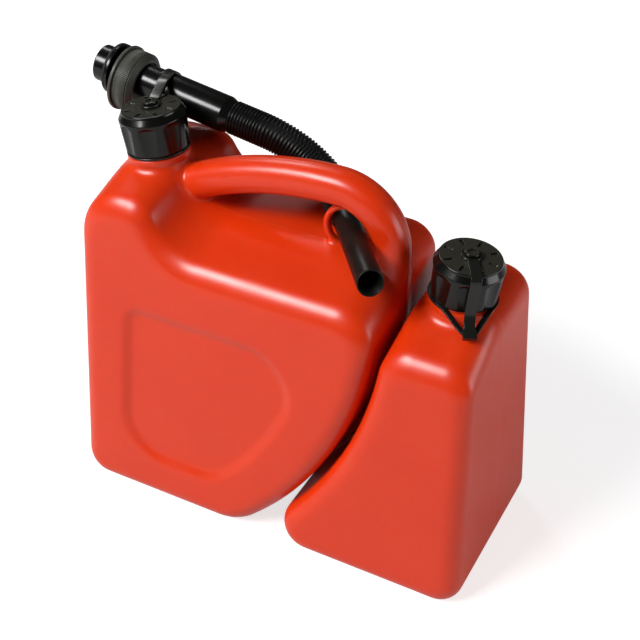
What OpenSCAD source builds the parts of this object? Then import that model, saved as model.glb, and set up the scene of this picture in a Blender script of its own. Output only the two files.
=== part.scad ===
// Twin-tank fuel can: a petrol tank with a carrying handle, an oil tank nested
// against it, two tethered screw caps and a flexible pouring spout stored on the can.
// X runs along the can from the petrol end to the oil end, Y from front to back, Z up.
// The origin is on the floor, under the petrol tank, on the mould's parting plane.

/* [Shell] */
// Wall thickness of both blown tanks
wall = 2.6; // [2:0.1:3.5]
// Front-to-back depth of the can at the floor
depth = 157; // [140:1:175]
// Draft of the front and back faces, in degrees
face_draft = 4.7; // [3:0.1:5.5]
// Lean of the two end walls, in degrees
end_lean = 2.8; // [1:0.1:4]
// Rounding of the front and back edges
edge_r = 15; // [12:0.5:17]
// Rise of the roofs from the middle to the back edge
back_rise = 4; // [0:0.5:6]

/* [Petrol tank] */
// Distance from the origin to the left end wall at the floor
petrol_left = 81; // [76:1:90]
// Reach of the swept right wall from the origin
petrol_right = 176; // [168:1:182]
// Radius of the swept right wall
sweep_r = 300; // [260:5:340]
// Height at which the swept wall stands upright
sweep_z = 231; // [222:1:240]
// Height of the front shoulder
shoulder_z = 226; // [216:1:232]
// Rise of the shoulder from the front edge to the ridge
shoulder_rise = 20; // [14:1:24]
// Step from the front shoulder up to the hump that carries the neck
hump_step = 39; // [32:1:44]
// Rise of the hump from the front edge to the middle
hump_rise = 17; // [14:0.5:20]
// Place of the hump's right rounding along X, at the front edge
hump_x = -27; // [-30:1:-24]
// Shift of that rounding from the front edge to the back edge
hump_skew = 16; // [8:1:18]
// Radius of the hump's right rounding
hump_r = 20; // [18:1:24]
// Steepness of the slope between hump and shoulder, in degrees
hump_turn = 65; // [55:1:72]
// Radius of the hump's left rounding
crown_r = 38; // [34:1:40]
// Radius of the left foot
foot_r = 22; // [19:1:30]
// Radius of the right toe
toe_r = 45; // [35:1:55]
// Radius of the shoulder's right corner at the front
shoulder_r = 30; // [24:1:36]
// Radius of the shoulder's right corner at the back
shoulder_back_r = 22; // [19:1:30]

/* [Face recess] */
// Margin from the end walls to the sunk panel
recess_margin = 43; // [38:1:48]
// Margin from the floor to the sunk panel
recess_foot = 40; // [34:1:46]
// Drop from the shoulder to the sunk panel
recess_drop = 47; // [42:1:54]
// Depth of the sunk panel
recess_depth = 2.5; // [1:0.1:3.5]
// Width of the panel's sloped border
recess_slope = 6; // [4:0.5:8]
// Radius of the panel's large corners
recess_r = 38; // [30:1:44]
// Radius of the panel's small top corner
recess_small_r = 14; // [11:1:20]

/* [Oil tank] */
// Gap between the two tanks
tank_gap = 7; // [5:0.5:9]
// Distance from the origin to the right end wall at the floor
oil_right = 261; // [256:1:272]
// Height of the oil tank's front shoulder
oil_shoulder_z = 206; // [198:1:214]
// Rise from the front shoulder to the neck
oil_rise = 23; // [18:1:28]
// Radius of the foot next to the petrol tank
oil_foot_r = 22; // [19:1:28]
// Radius of the right foot
oil_heel_r = 20; // [19:1:28]
// Radius of the top's left rounding
oil_left_r = 26; // [20:1:30]
// Radius of the top's right rounding
oil_right_r = 22; // [19:1:26]
// Thickness of the web that joins the tanks
web_t = 5; // [4:0.5:7]
// Height of the web's lower end
web_low = 60; // [45:1:80]
// Height of the web's upper end
web_high = 190; // [150:1:196]

/* [Handle] */
// Diameter of the handle bar
handle_d = 27; // [24:0.5:29]
// Finger room between the ridge and the handle
finger_gap = 34; // [31:0.5:40]
// Radius of the long arch
handle_arch_r = 270; // [240:5:320]
// Radius of the bend into the right leg
handle_bend_r = 42; // [38:1:46]
// Distance from the leg's middle to the swept wall's reach
handle_leg_inset = 13; // [12:0.5:16]

/* [Spout eye] */
// Radius of the eye
eye_r = 15.6; // [15.4:0.1:16.4]
// Width of the rim round the eye
eye_rim = 4.5; // [3.5:0.5:6]
// Thickness of the eye's rim
eye_t = 7; // [5:0.5:7.5]
// Distance from the handle's leg to the eye
eye_inset = 34; // [32:0.5:37]
// Distance from the handle's underside down to the eye
eye_drop = 3.5; // [2:0.5:4.5]

/* [Necks] */
// Outer radius of the necks
neck_r = 21; // [20:0.25:21.5]
// Bore radius of the necks
neck_bore_r = 17.8; // [16:0.1:18.5]
// Radius of the bead at the foot of a neck
bead_r = 24; // [23:0.25:25]
// Height of the bead
bead_h = 3; // [2:0.5:4]
// Place of the petrol neck along X
petrol_neck_x = -30.5; // [-33:0.5:-28]
// Lean of the petrol neck towards its end, in degrees
petrol_lean = 7; // [4:0.5:9]
// Place of the oil neck along X
oil_neck_x = 218; // [215:0.5:220]
// Lean of the oil neck towards its end, in degrees
oil_lean = 6; // [3:0.5:8]
// Depth that a neck reaches down into its tank's shoulder
neck_root = 18; // [16:0.5:20]
// Radius of a neck's flared foot at that depth
neck_foot_r = 28; // [25:0.5:28.5]

/* [Caps] */
// Largest radius of the caps
cap_r = 25.4; // [25:0.1:25.8]
// Height of the caps
cap_h = 31; // [27:0.5:35]
// Thickness of the cap's top
cap_top_t = 3.5; // [2.5:0.25:5]
// Inner radius of the cap's skirt
cap_bore_r = 21.8; // [21.6:0.1:22.2]
// Draw-in of the skirt at its foot
cap_taper = 1.4; // [1:0.1:1.8]
// Radius of the cap's top plate
plate_r = 22.4; // [21.5:0.1:23]
// Height of that plate above the cap's sloped shoulder
plate_h = 1.6; // [1:0.1:2]
// Scallops round the skirt
lobes = 8; // [6:1:10]
// Radius of a scallop
lobe_r = 20; // [16:1:30]
// Depth of a scallop
lobe_depth = 2.4; // [1.6:0.1:2.6]
// Drop from the cap's top to the scallops
lobe_drop = 6; // [5:0.5:8]
// Height of the hood that closes a scallop
hood_h = 4; // [2:0.5:6]
// Slots in the cap's top
slots = 8; // [4:1:10]
// Length of a slot
slot_len = 6; // [4:0.5:7]
// Width of a slot
slot_w = 2; // [1.5:0.25:2.5]
// Depth of a slot
slot_depth = 1.2; // [0.8:0.1:1.8]
// Distance from the plate's edge to a slot
slot_edge = 2.8; // [2:0.2:4]
// Thickness of the seal
seal_t = 2; // [1:0.25:3]
// Radius of the button's stem
stem_r = 4; // [3:0.25:4.5]
// Radius of the button's head
button_r = 5.5; // [5:0.25:6.5]
// Thickness of the button's head
button_t = 2; // [1.5:0.25:3]

/* [Tethers] */
// Width of a strap
strap_w = 8; // [6.5:0.5:9.5]
// Thickness of straps and rings
strap_t = 1.8; // [1.2:0.1:2.2]
// Width of the eyelet round a cap's button
eyelet_w = 2; // [1.5:0.25:3]
// Radius of the strap's bend over the cap's edge
strap_bend_r = 4; // [3:0.5:6]
// Turn of the oil cap's strap from the front towards the end, in degrees
tether_turn = 31; // [15:1:38]
// Width of the ring round a neck
ring_w = 4; // [3:0.5:6]
// Place where the tail's arms leave the ring, from its middle
arm_spread = 17; // [14:0.5:19]
// Reach of the tail from the neck's axis
tail_reach = 39; // [37:0.5:42]
// Length of the tab at the tail's end
tab_len = 7; // [5:0.5:9]
// Slope of the tail, in degrees
tail_slope = 24; // [15:1:28]

/* [Spout] */
// Fall of the spout towards its hose, in degrees
spout_fall = 9.5; // [7:0.5:12]
// Gap between the petrol cap and the spout tube
spout_cap_gap = 2.6; // [2:0.2:5]
// Drop from the petrol cap's top to the spout's axis
spout_drop = 8.8; // [6:0.2:12]
// Shift of the strap's loop from the cap's button towards the inlet
loop_shift = 14; // [8:0.5:16]
// Length from the loop to the tube's end
tube_reach = 59.5; // [54:0.5:64]
// Outer radius of the rigid tube
tube_r = 14; // [13.6:0.1:14.5]
// Bore radius of the rigid tube
tube_bore_r = 10.6; // [9.5:0.1:11]
// Length of the taper at the tube's end
tube_taper = 6; // [4:0.5:9]
// Radius of the hub on which the collar hangs
hub_r = 13.2; // [12.6:0.1:13.5]
// Length of the hub from the flange to the tube
hub_len = 49; // [46:0.5:53]
// Gap between the strap's loop and the tube's shoulder
loop_gap = 2; // [1:0.5:3]
// Outer radius of the inlet stub
inlet_r = 14.4; // [13.8:0.1:15]
// Wall of the inlet stub
inlet_wall = 2.6; // [2:0.1:3.2]
// Length of the inlet stub
inlet_len = 14; // [11:0.5:18]
// Radius of the inlet's flange and gasket
flange_r = 20; // [19.5:0.25:21]
// Thickness of the inlet's flange
flange_t = 2.5; // [2:0.25:4]
// Thickness of the gasket
gasket_t = 2; // [1.5:0.25:3]
// Length of the inlet's spigot inside the hub
spigot_len = 30; // [20:1:40]
// Radius of the collar
collar_r = 24; // [23.5:0.25:25]
// Slack between the flange and the collar's mouth
collar_slack = 5; // [3:0.5:7]
// Length of the collar
collar_len = 19; // [17:0.5:23]
// Radius of the hole in the collar's end wall, by which it hangs on the hub
collar_hole_r = 18.2; // [17:0.1:18.6]
// Thickness of the collar's end wall
collar_end_t = 4; // [3:0.25:5]
// Reach of the lip round the collar's mouth
collar_lip = 1.6; // [0.8:0.2:2]
// Thickness of that lip
collar_lip_t = 2.5; // [2:0.25:4]
// Chamfer at the collar's end wall
collar_chamfer = 3.5; // [2:0.25:5]

/* [Hose and tip] */
// Outer radius of the hose over its ribs
hose_r = 13; // [11.8:0.1:13.5]
// Depth of the hose's ribs
rib_depth = 1.3; // [0.8:0.1:1.6]
// Spacing of the hose's ribs
rib_pitch = 2.6; // [2.4:0.1:4]
// Bore radius of the hose
hose_bore_r = 9.8; // [9.2:0.1:10]
// Wall of the nipples inside the hose
nipple_wall = 1.8; // [1.2:0.1:2]
// Length of the nipples inside the hose
nipple_len = 15; // [10:0.5:20]
// Outer radius of the tip
tip_r = 9.6; // [9:0.1:9.8]
// Bore radius of the tip
tip_bore_r = 7.6; // [6:0.1:7.7]
// Slant of the tip's mouth, in degrees
tip_slant = 15; // [0:1:20]
// Reach of the shoulder where the tip meets the hose
tip_shoulder = 1.8; // [1:0.2:2.4]
// Length of that shoulder
tip_shoulder_len = 4; // [3:0.5:6]
// Reach of the tip in front of the eye
tip_reach = 67; // [60:1:74]
// Reach of the tip behind the eye, up to the hose
tip_back = 20; // [19:0.5:26]
// Swing of the tip towards the oil end, in degrees
tip_swing = 39; // [36:0.5:39.5]
// Fall of the tip, in degrees
tip_fall = 2; // [1:0.5:6]

/* [Hidden] */
$fn = 96;

// Clearances: between resting pieces, and of pieces that fit into one another
seat = 0.3;
running = 0.08;
// Overlap that joins shapes of one piece
bite = 1;
// Small bevel on moulded edges
bevel = 0.8;
// Smallest radius that a rounding keeps when it is set inwards
least_r = 0.6;
// Softness of the ridge, as a share of the half depth
ridge_soft = 0.22;
// Points along the panel's top edge, as shares of its length
panel_stops = [0.7, 0.35, 0.3, 0.1];
// Steps of the tanks' outer and inner skins: along a rounding, over an edge, across the depth
outer_steps = [2, 4, 8];
inner_steps = [1, 2, 6];
// Rings along the handle's arch and bend, and sides of its bar
arch_steps = 11;
bend_steps = 8;
bar_sides = 20;
// Steps along the web between the tanks
web_steps = 12;
// Sides of the hose, and how far its bend eases out of the straight ends
hose_sides = 12;
hose_ease = 0.42;
// Ribs spanned by one ring of the bore, and the part of a rib used to find the hose's direction
bore_ribs = 3;
rib_probe = 0.25;
// Reach of a scallop's hood beyond its depth, and of the tail's arms into the ring
hood_run = 1.5;
arm_root = 1.6;

tank_red = "#d93a1c";
cap_black = "#26262a";
spout_black = "#1b1b1e";
seal_grey = "#4a4a4c";

half_depth = depth / 2;
lean_run = tan(end_lean);
sweep_c = [petrol_right - sweep_r, sweep_z];
ridge_z = shoulder_z + shoulder_rise;
hump_z = shoulder_z + hump_step;
leg_x = petrol_right - handle_leg_inset;
handle_r = handle_d / 2;
handle_z = ridge_z + finger_gap + handle_r;
handle_apex_x = leg_x - handle_bend_r;
eye_c = [leg_x - eye_inset, handle_z - handle_r - eye_drop - eye_r];

// Heights along a neck's axis, from the top of its shoulder
ring_z = bead_h + seat;
skirt_z = ring_z + strap_t + 2 * seat;
cap_top_z = skirt_z + cap_h;
seal_top_z = cap_top_z - cap_top_t;
rim_z = seal_top_z - seal_t - seat;
eyelet_z = cap_top_z + seat;
head_z = eyelet_z + strap_t + seat;
// Inner and middle radius of a tether's ring
ring_r = neck_r + seat;
ring_mid_r = ring_r + ring_w / 2;

petrol_neck_z = hump_z + hump_rise;
oil_neck_z = oil_shoulder_z + oil_rise;

// Directions and places along the spout, measured from the inlet's mouth
spout_dir = [cos(spout_fall), 0, -sin(spout_fall)];
button_x = petrol_neck_x - eyelet_z * sin(petrol_lean);
button_z = petrol_neck_z + (eyelet_z + strap_t / 2) * cos(petrol_lean);
spout_y = cap_r + tube_r + spout_cap_gap;
hub_c = [button_x - loop_shift, spout_y, button_z - spout_drop];
tube_end = hub_c + tube_reach * spout_dir;
gasket_z = inlet_len - gasket_t;
hub_z = inlet_len + flange_t;
tube_z = hub_z + hub_len;
loop_z = tube_z - loop_gap - strap_w / 2;
tube_len = loop_z + tube_reach;
collar_z = hub_z + collar_slack;
collar_sag = collar_hole_r - hub_r - seat;

// The hose's route: straight out of the tube, a bend behind the handle, straight into the tip
tip_dir = [sin(tip_swing) * cos(tip_fall), -cos(tip_swing) * cos(tip_fall), -sin(tip_fall)];
eye_p = [eye_c.x, 0, eye_c.y];
hose_end = eye_p - tip_back * tip_dir;
hose_straight = 2 * hose_r;
hose_a = tube_end + hose_straight * spout_dir;
hose_b = hose_end - hose_straight * tip_dir;
hose_pull = hose_ease * norm(hose_b - hose_a);
bend_len = norm(bend_point(0.25) - hose_a) + norm(bend_point(0.5) - bend_point(0.25))
    + norm(bend_point(0.75) - bend_point(0.5)) + norm(hose_b - bend_point(0.75));
hose_len = bend_len + 2 * hose_straight;
ribs = floor(hose_len / rib_pitch);
// A nipple fits inside the flats of the hose's bore
nipple_r = hose_bore_r * cos(180 / hose_sides) - running;

// Points of an outline, set inwards by inset. A run is a rounding of radius r about a
// centre that may glide from c0 to c1, and a negative r turns inwards. The last point
// of a run is left out where the next run starts there.
function run_points(c0, c1, r, a0, a1, n, closed, inset) = [
    for (i = [0 : n - (closed ? 0 : 1)])
        let (t = i / n, a = a0 + (a1 - a0) * t, c = c0 + (c1 - c0) * t)
        let (rr = r > 0 ? max(r - inset, least_r) : r - inset)
        c + rr * [cos(a), sin(a)]
];

// Share of the way from the middle to the front or back edge, softened in the middle
function ramp(y) =
    let (t = y / half_depth, edge = sqrt(1 + ridge_soft * ridge_soft) - ridge_soft)
    (sqrt(t * t + ridge_soft * ridge_soft) - ridge_soft) / edge;

// Height of a roof above its front edge at depth y
function rise_at(y, rise) = rise + (y < 0 ? -rise : back_rise) * ramp(y);

// Petrol tank outline at depth y, from the left foot round by the toe to the hump
function petrol_outline(y, inset, fine) =
    let (zs = shoulder_z + rise_at(y, shoulder_rise))
    let (zt = hump_z + rise_at(y, hump_rise))
    let (foot = [-petrol_left + lean_run * foot_r + foot_r / cos(end_lean), foot_r])
    let (toe = [sweep_c.x + sqrt((sweep_r - toe_r) ^ 2 - (toe_r - sweep_z) ^ 2), toe_r])
    let (top_r = shoulder_r + (shoulder_back_r - shoulder_r) * (y / depth + 0.5), zc = zs - top_r)
    let (top = [sweep_c.x + sqrt((sweep_r - top_r) ^ 2 - (zc - sweep_z) ^ 2), zc])
    let (toe_a = atan2(toe.y - sweep_z, toe.x - sweep_c.x))
    let (top_a = atan2(zc - sweep_z, top.x - sweep_c.x))
    let (hump_shift = hump_skew * (y / depth + 0.5))
    let (hump = [hump_x + hump_shift, zt - hump_r], up = 90 - hump_turn)
    let (dip_r = (zt - hump_r + hump_r * sin(up) - zs) / (1 - sin(up)))
    let (dip = hump + (hump_r + dip_r) * [cos(up), sin(up)])
    let (crown_z = zt - crown_r)
    let (crown = [-petrol_left + lean_run * crown_z + crown_r / cos(end_lean), crown_z])
    concat(
        run_points(foot, foot, foot_r, 180 - end_lean, 270, 3 * fine, true, inset),
        run_points(toe, toe, toe_r, -90, toe_a, 3 * fine, false, inset),
        run_points(sweep_c, sweep_c, sweep_r, toe_a, top_a, 4 * fine, false, inset),
        run_points(top, top, top_r, top_a, 90, 4 * fine, true, inset),
        run_points(dip, dip, -dip_r, 90, up, 3 * fine, false, inset),
        run_points(hump, hump, hump_r, up, 90, 2 * fine, true, inset),
        run_points(crown, crown, crown_r, 90, 180 - end_lean, 4 * fine, true, inset)
    );

// Border of the sunk panel, run by run in step with the petrol tank outline
function recess_outline(inset, fine) =
    let (r = recess_r, small = recess_small_r)
    let (left = -petrol_left + recess_margin, sweep = sweep_r - recess_margin)
    let (top_z = shoulder_z - recess_drop)
    let (foot = [left + lean_run * r + r / cos(end_lean), recess_foot + r])
    let (toe = [sweep_c.x + sqrt((sweep - r) ^ 2 - (foot.y - sweep_z) ^ 2), foot.y])
    let (zc = top_z - r)
    let (top = [sweep_c.x + sqrt((sweep - r) ^ 2 - (zc - sweep_z) ^ 2), zc])
    let (toe_a = atan2(toe.y - sweep_z, toe.x - sweep_c.x))
    let (top_a = atan2(zc - sweep_z, top.x - sweep_c.x))
    let (crown_z = top_z - small)
    let (crown = [left + lean_run * crown_z + small / cos(end_lean), crown_z])
    let (span = top.x - crown.x)
    let (stops = [for (t = panel_stops) [crown.x + span * t, top_z]])
    concat(
        run_points(foot, foot, r, 180 - end_lean, 270, 3 * fine, true, inset),
        run_points(toe, toe, r, -90, toe_a, 3 * fine, false, inset),
        run_points(sweep_c, sweep_c, sweep, toe_a, top_a, 4 * fine, false, inset),
        run_points(top, top, r, top_a, 90, 4 * fine, true, inset),
        run_points(stops[0], stops[1], -0, 90, 90, 3 * fine, false, inset),
        run_points(stops[2], stops[3], -0, 90, 90, 2 * fine, true, inset),
        run_points(crown, crown, small, 90, 180 - end_lean, 4 * fine, true, inset)
    );

// Oil tank outline at depth y, from the right foot round by the top to the foot beside
// the petrol tank. Its left wall runs along the petrol tank's swept wall.
function oil_outline(y, inset, fine) =
    let (zt = oil_shoulder_z + rise_at(y, oil_rise), nest = sweep_r + tank_gap)
    let (reach = sqrt((nest + oil_foot_r) ^ 2 - (oil_foot_r - sweep_z) ^ 2))
    let (foot = [sweep_c.x + reach, oil_foot_r])
    let (heel = [oil_right - lean_run * oil_heel_r - oil_heel_r / cos(end_lean), oil_heel_r])
    let (zr = zt - oil_right_r, zl = zt - oil_left_r)
    let (right = [oil_right - lean_run * zr - oil_right_r / cos(end_lean), zr])
    let (left = [sweep_c.x + sqrt((nest + oil_left_r) ^ 2 - (zl - sweep_z) ^ 2), zl])
    let (left_a = atan2(sweep_z - zl, sweep_c.x - left.x))
    let (wall_a = left_a < 0 ? left_a + 360 : left_a)
    let (foot_a = atan2(sweep_z - oil_foot_r, sweep_c.x - foot.x))
    concat(
        run_points(heel, heel, oil_heel_r, 270, 360 + end_lean, 3 * fine, true, inset),
        run_points(right, right, oil_right_r, end_lean, 90, 3 * fine, true, inset),
        run_points(left, left, oil_left_r, 90, wall_a, 3 * fine, false, inset),
        run_points(sweep_c, sweep_c, -nest, wall_a, foot_a, 4 * fine, false, inset),
        run_points(foot, foot, oil_foot_r, foot_a, 270, 4 * fine, true, inset)
    );

// Depths and insets of the rings from the front face to the back face
function stations(half, r, n_edge, n_mid) =
    let (turns = [for (k = [n_edge : -1 : 0]) 90 * k / n_edge])
    let (front = [for (a = turns) [-half + r - r * sin(a), r - r * cos(a)]])
    let (middle = [for (k = [1 : n_mid - 1]) [(half - r) * (2 * k / n_mid - 1), 0]])
    let (back = [for (k = [n_edge : -1 : 0]) [-front[k][0], front[k][1]]])
    concat(front, middle, back);

// A ring of a tank at depth y, with the faces' draft applied
function ring_at(outline, y) = [
    for (p = outline) [p.x, y * (1 - p.y * tan(face_draft) / half_depth), p.y]
];

// Rings of the petrol tank, with its two sunk panels, set inwards by t
function petrol_rings(t, steps) =
    let (half = half_depth - t, fine = steps[0])
    let (rows = [for (s = stations(half, edge_r - t, steps[1], steps[2]))
        ring_at(petrol_outline(s[0], t + s[1], fine), s[0])])
    let (border = recess_outline(-t, fine), panel = recess_outline(recess_slope - t, fine))
    concat(
        [ring_at(panel, recess_depth - half), ring_at(border, -half)],
        rows,
        [ring_at(border, half), ring_at(panel, half - recess_depth)]
    );

// Rings of the oil tank, set inwards by t
function oil_rings(t, steps) = [
    for (s = stations(half_depth - t, edge_r - t, steps[1], steps[2]))
        ring_at(oil_outline(s[0], t + s[1], steps[0]), s[0])
];

// Triangles between rings of n points, numbered from the first ring
function band_faces(n, rows) = [
    for (j = [0 : rows - 2])
        for (i = [0 : n - 1])
            let (a = j * n + i, b = j * n + (i + 1) % n)
            each [[a, b, b + n], [a, b + n, a + n]]
];

// Solid skinned over a stack of rings, closed by a flat face at each end
module skinned(rings) {
    n = len(rings[0]);
    rows = len(rings);
    last = (rows - 1) * n;
    front = [for (i = [1 : n - 2]) [0, i + 1, i]];
    back = [for (i = [1 : n - 2]) [last, last + i, last + i + 1]];
    polyhedron(points = [for (r = rings) each r], faces = concat(front, back, band_faces(n, rows)));
}

// Solid skinned over rings whose last ring joins the first
module skinned_loop(rings) {
    n = len(rings[0]);
    rows = len(rings);
    total = n * rows;
    faces = [for (f = band_faces(n, rows + 1)) [for (v = f) v % total]];
    polyhedron(points = [for (r = rings) each r], faces = faces);
}

function unit(v) = v / norm(v);

// Ring of n points round p, square to the direction d
function tube_ring(p, d, r, n) =
    let (side = unit(cross(d, [0, 0, 1])), up = cross(side, d))
    [for (i = [0 : n - 1]) p + r * (cos(360 * i / n) * side + sin(360 * i / n) * up)];

// Handle bar: a long arch that bends down into the right leg, in the parting plane
module handle_bar() {
    arch_c = [handle_apex_x, handle_z - handle_arch_r];
    bend_c = [handle_apex_x, handle_z - handle_bend_r];
    reach = asin((handle_apex_x - hump_x) / handle_arch_r);
    arch = [for (i = [0 : arch_steps]) let (a = 90 + reach * (1 - i / arch_steps))
        [arch_c + handle_arch_r * [cos(a), sin(a)], a - 90]];
    bend = [for (i = [1 : bend_steps]) let (a = 90 - 90 * i / bend_steps)
        [bend_c + handle_bend_r * [cos(a), sin(a)], a - 90]];
    foot = [[leg_x, shoulder_z - shoulder_r], -90];
    rings = [for (s = concat(arch, bend, [foot]))
        let (p = [s[0].x, 0, s[0].y], side = [-sin(s[1]), 0, cos(s[1])])
        [for (i = [0 : bar_sides - 1]) let (b = 360 * i / bar_sides)
            p + handle_r * (sin(b) * side + [0, -cos(b), 0])]];
    skinned(rings);
}

// Web between handle, leg and ridge, with the rim of the eye
module eye_web() {
    floor_z = ridge_z - bite;
    roof_z = handle_z - handle_r + bite;
    translate([0, eye_t / 2, 0])
        rotate([90, 0, 0])
            linear_extrude(eye_t) {
                translate(eye_c)
                    circle(eye_r + eye_rim);
                translate([eye_c.x, floor_z])
                    square([leg_x - eye_c.x, roof_z - floor_z]);
            }
}

// Moves children onto a neck's shoulder, along its axis
module on_neck(x, z, lean) {
    translate([x, 0, z])
        rotate([0, lean, 0])
            children();
}

module on_petrol_neck() {
    on_neck(petrol_neck_x, petrol_neck_z, -petrol_lean)
        children();
}

module on_oil_neck() {
    on_neck(oil_neck_x, oil_neck_z, oil_lean)
        children();
}

// Outside of a neck, with its flared foot and its bead
module neck() {
    rotate_extrude()
        polygon([
            [0, -neck_root], [neck_foot_r, -neck_root], [bead_r, 0], [bead_r, bead_h - bevel],
            [bead_r - bevel, bead_h], [neck_r, bead_h], [neck_r, rim_z - bevel], [neck_r - bevel, rim_z],
            [0, rim_z]
        ]);
}

// Bore of a neck, down into the tank
module neck_bore() {
    translate([0, 0, -neck_root - bite])
        cylinder(r = neck_bore_r, h = neck_root + rim_z + 2 * bite);
}

// Web along the gap that joins the tanks in the parting plane
module tank_web() {
    low = asin((web_low - sweep_z) / sweep_r);
    high = asin((web_high - sweep_z) / sweep_r);
    angles = [for (i = [0 : web_steps]) low + (high - low) * i / web_steps];
    inner = [for (a = angles) sweep_c + (sweep_r - wall / 2) * [cos(a), sin(a)]];
    web_r = sweep_r + tank_gap - seat;
    outer = [for (i = [web_steps : -1 : 0]) sweep_c + web_r * [cos(angles[i]), sin(angles[i])]];
    translate([0, web_t / 2, 0])
        rotate([90, 0, 0])
            linear_extrude(web_t)
                polygon(concat(inner, outer));
}

module petrol_tank() {
    color(tank_red)
        difference() {
            union() {
                skinned(petrol_rings(0, outer_steps));
                handle_bar();
                eye_web();
                tank_web();
                on_petrol_neck()
                    neck();
            }
            skinned(petrol_rings(wall, inner_steps));
            on_petrol_neck()
                neck_bore();
            translate([eye_c.x, 0, eye_c.y])
                rotate([90, 0, 0])
                    cylinder(r = eye_r, h = eye_t + 2 * bite, center = true);
        }
}

module oil_tank() {
    color(tank_red)
        difference() {
            union() {
                skinned(oil_rings(0, outer_steps));
                on_oil_neck()
                    neck();
            }
            skinned(oil_rings(wall, inner_steps));
            on_oil_neck()
                neck_bore();
        }
}

// Cutter of one scallop, with the hood that closes it at the top
module scallop() {
    low = skirt_z - bite;
    high = cap_top_z - lobe_drop;
    translate([cap_r - lobe_depth + lobe_r, 0, 0])
        rotate_extrude()
            polygon([
                [0, low], [lobe_r, low], [lobe_r, high - hood_h],
                [lobe_r - hood_run * lobe_depth, high], [0, high]
            ]);
}

// Screw cap on its neck: scalloped skirt, sloped shoulder, slotted top plate and swivel button
module screw_cap() {
    hem_r = cap_r - cap_taper;
    difference() {
        rotate_extrude()
            polygon([
                [cap_bore_r, skirt_z], [hem_r - bevel, skirt_z], [hem_r, skirt_z + bevel],
                [cap_r, cap_top_z - lobe_drop], [plate_r, cap_top_z - plate_h], [plate_r, cap_top_z],
                [stem_r, cap_top_z], [stem_r, head_z], [button_r, head_z],
                [button_r - bevel, head_z + button_t], [0, head_z + button_t],
                [0, seal_top_z], [cap_bore_r, seal_top_z]
            ]);
        for (i = [0 : lobes - 1])
            rotate([0, 0, (i + 0.5) * 360 / lobes])
                scallop();
        for (i = [0 : slots - 1])
            rotate([0, 0, i * 360 / slots])
                translate([plate_r - slot_edge - slot_len, -slot_w / 2, cap_top_z - slot_depth])
                    cube([slot_len, slot_w, slot_depth + bite]);
    }
}

// Flat seal between the neck's rim and the cap's top
module cap_seal() {
    translate([0, 0, rim_z + seat / 2])
        cylinder(r = cap_bore_r - seat, h = seal_t);
}

module petrol_cap() {
    color(cap_black)
        on_petrol_neck()
            screw_cap();
}

module petrol_cap_seal() {
    color(seal_grey)
        on_petrol_neck()
            cap_seal();
}

module oil_cap() {
    color(cap_black)
        on_oil_neck()
            screw_cap();
}

module oil_cap_seal() {
    color(seal_grey)
        on_oil_neck()
            cap_seal();
}

// Flat eyelet round a cap's button
module eyelet() {
    translate([0, 0, eyelet_z])
        difference() {
            cylinder(r = button_r + eyelet_w, h = strap_t);
            translate([0, 0, -bite])
                cylinder(r = stem_r + seat, h = strap_t + 2 * bite);
        }
}

// Strap of even thickness along a path in the plane of its edge
module ribbon(path, w) {
    n = len(path);
    dirs = [for (i = [0 : n - 1]) unit(path[min(i + 1, n - 1)] - path[max(i - 1, 0)])];
    over = [for (i = [0 : n - 1]) path[i] + strap_t / 2 * [-dirs[i].y, dirs[i].x]];
    under = [for (i = [n - 1 : -1 : 0]) path[i] - strap_t / 2 * [-dirs[i].y, dirs[i].x]];
    rotate([90, 0, 90])
        translate([0, 0, -w / 2])
            linear_extrude(w)
                polygon(concat(over, under));
}

// Flat ring of a tether, round a neck under its cap
module neck_ring() {
    translate([0, 0, ring_z])
        difference() {
            cylinder(r = ring_r + ring_w, h = strap_t);
            translate([0, 0, -bite])
                cylinder(r = ring_r, h = strap_t + 2 * bite);
        }
}

// Tether of the oil cap: eyelet, strap over the skirt, sloped tail and ring round the neck
module oil_cap_tether() {
    down_y = -cap_r - seat - strap_t / 2;
    top_z = eyelet_z + strap_t / 2;
    tail_z = ring_z + strap_t / 2 - (tail_reach - ring_mid_r) * tan(tail_slope);
    corner = [down_y + strap_bend_r, top_z - strap_bend_r];
    bend = [for (a = [90 : 15 : 180]) corner + strap_bend_r * [cos(a), sin(a)]];
    tail = [[down_y - bite, ring_z + strap_t], [strap_t - tail_reach, tail_z + strap_t]];
    color(cap_black)
        on_oil_neck()
            rotate([0, 0, tether_turn]) {
                eyelet();
                ribbon(concat([[-button_r, top_z]], bend, tail), strap_w);
                neck_ring();
                translate([0, -ring_mid_r, ring_z])
                    rotate([tail_slope, 0, 0])
                        linear_extrude(strap_t)
                            for (side = [-1, 1])
                                tail_arm(side, ring_mid_r - tail_reach);
            }
}

// Outline of one arm of the tail, from the ring to its half of the tab
module tail_arm(side, end_y) {
    inner = -side * bite / 2;
    polygon([
        [side * arm_spread, arm_root * ring_w], [side * (arm_spread - ring_w), 0], [inner, end_y + tab_len],
        [inner, end_y], [side * strap_w / 2, end_y]
    ]);
}

// Places children on the spout's axis, at z along it from the inlet's mouth
module on_spout(z) {
    translate(tube_end - (tube_len - z) * spout_dir)
        rotate([0, 90 + spout_fall, 0])
            children();
}

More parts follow.
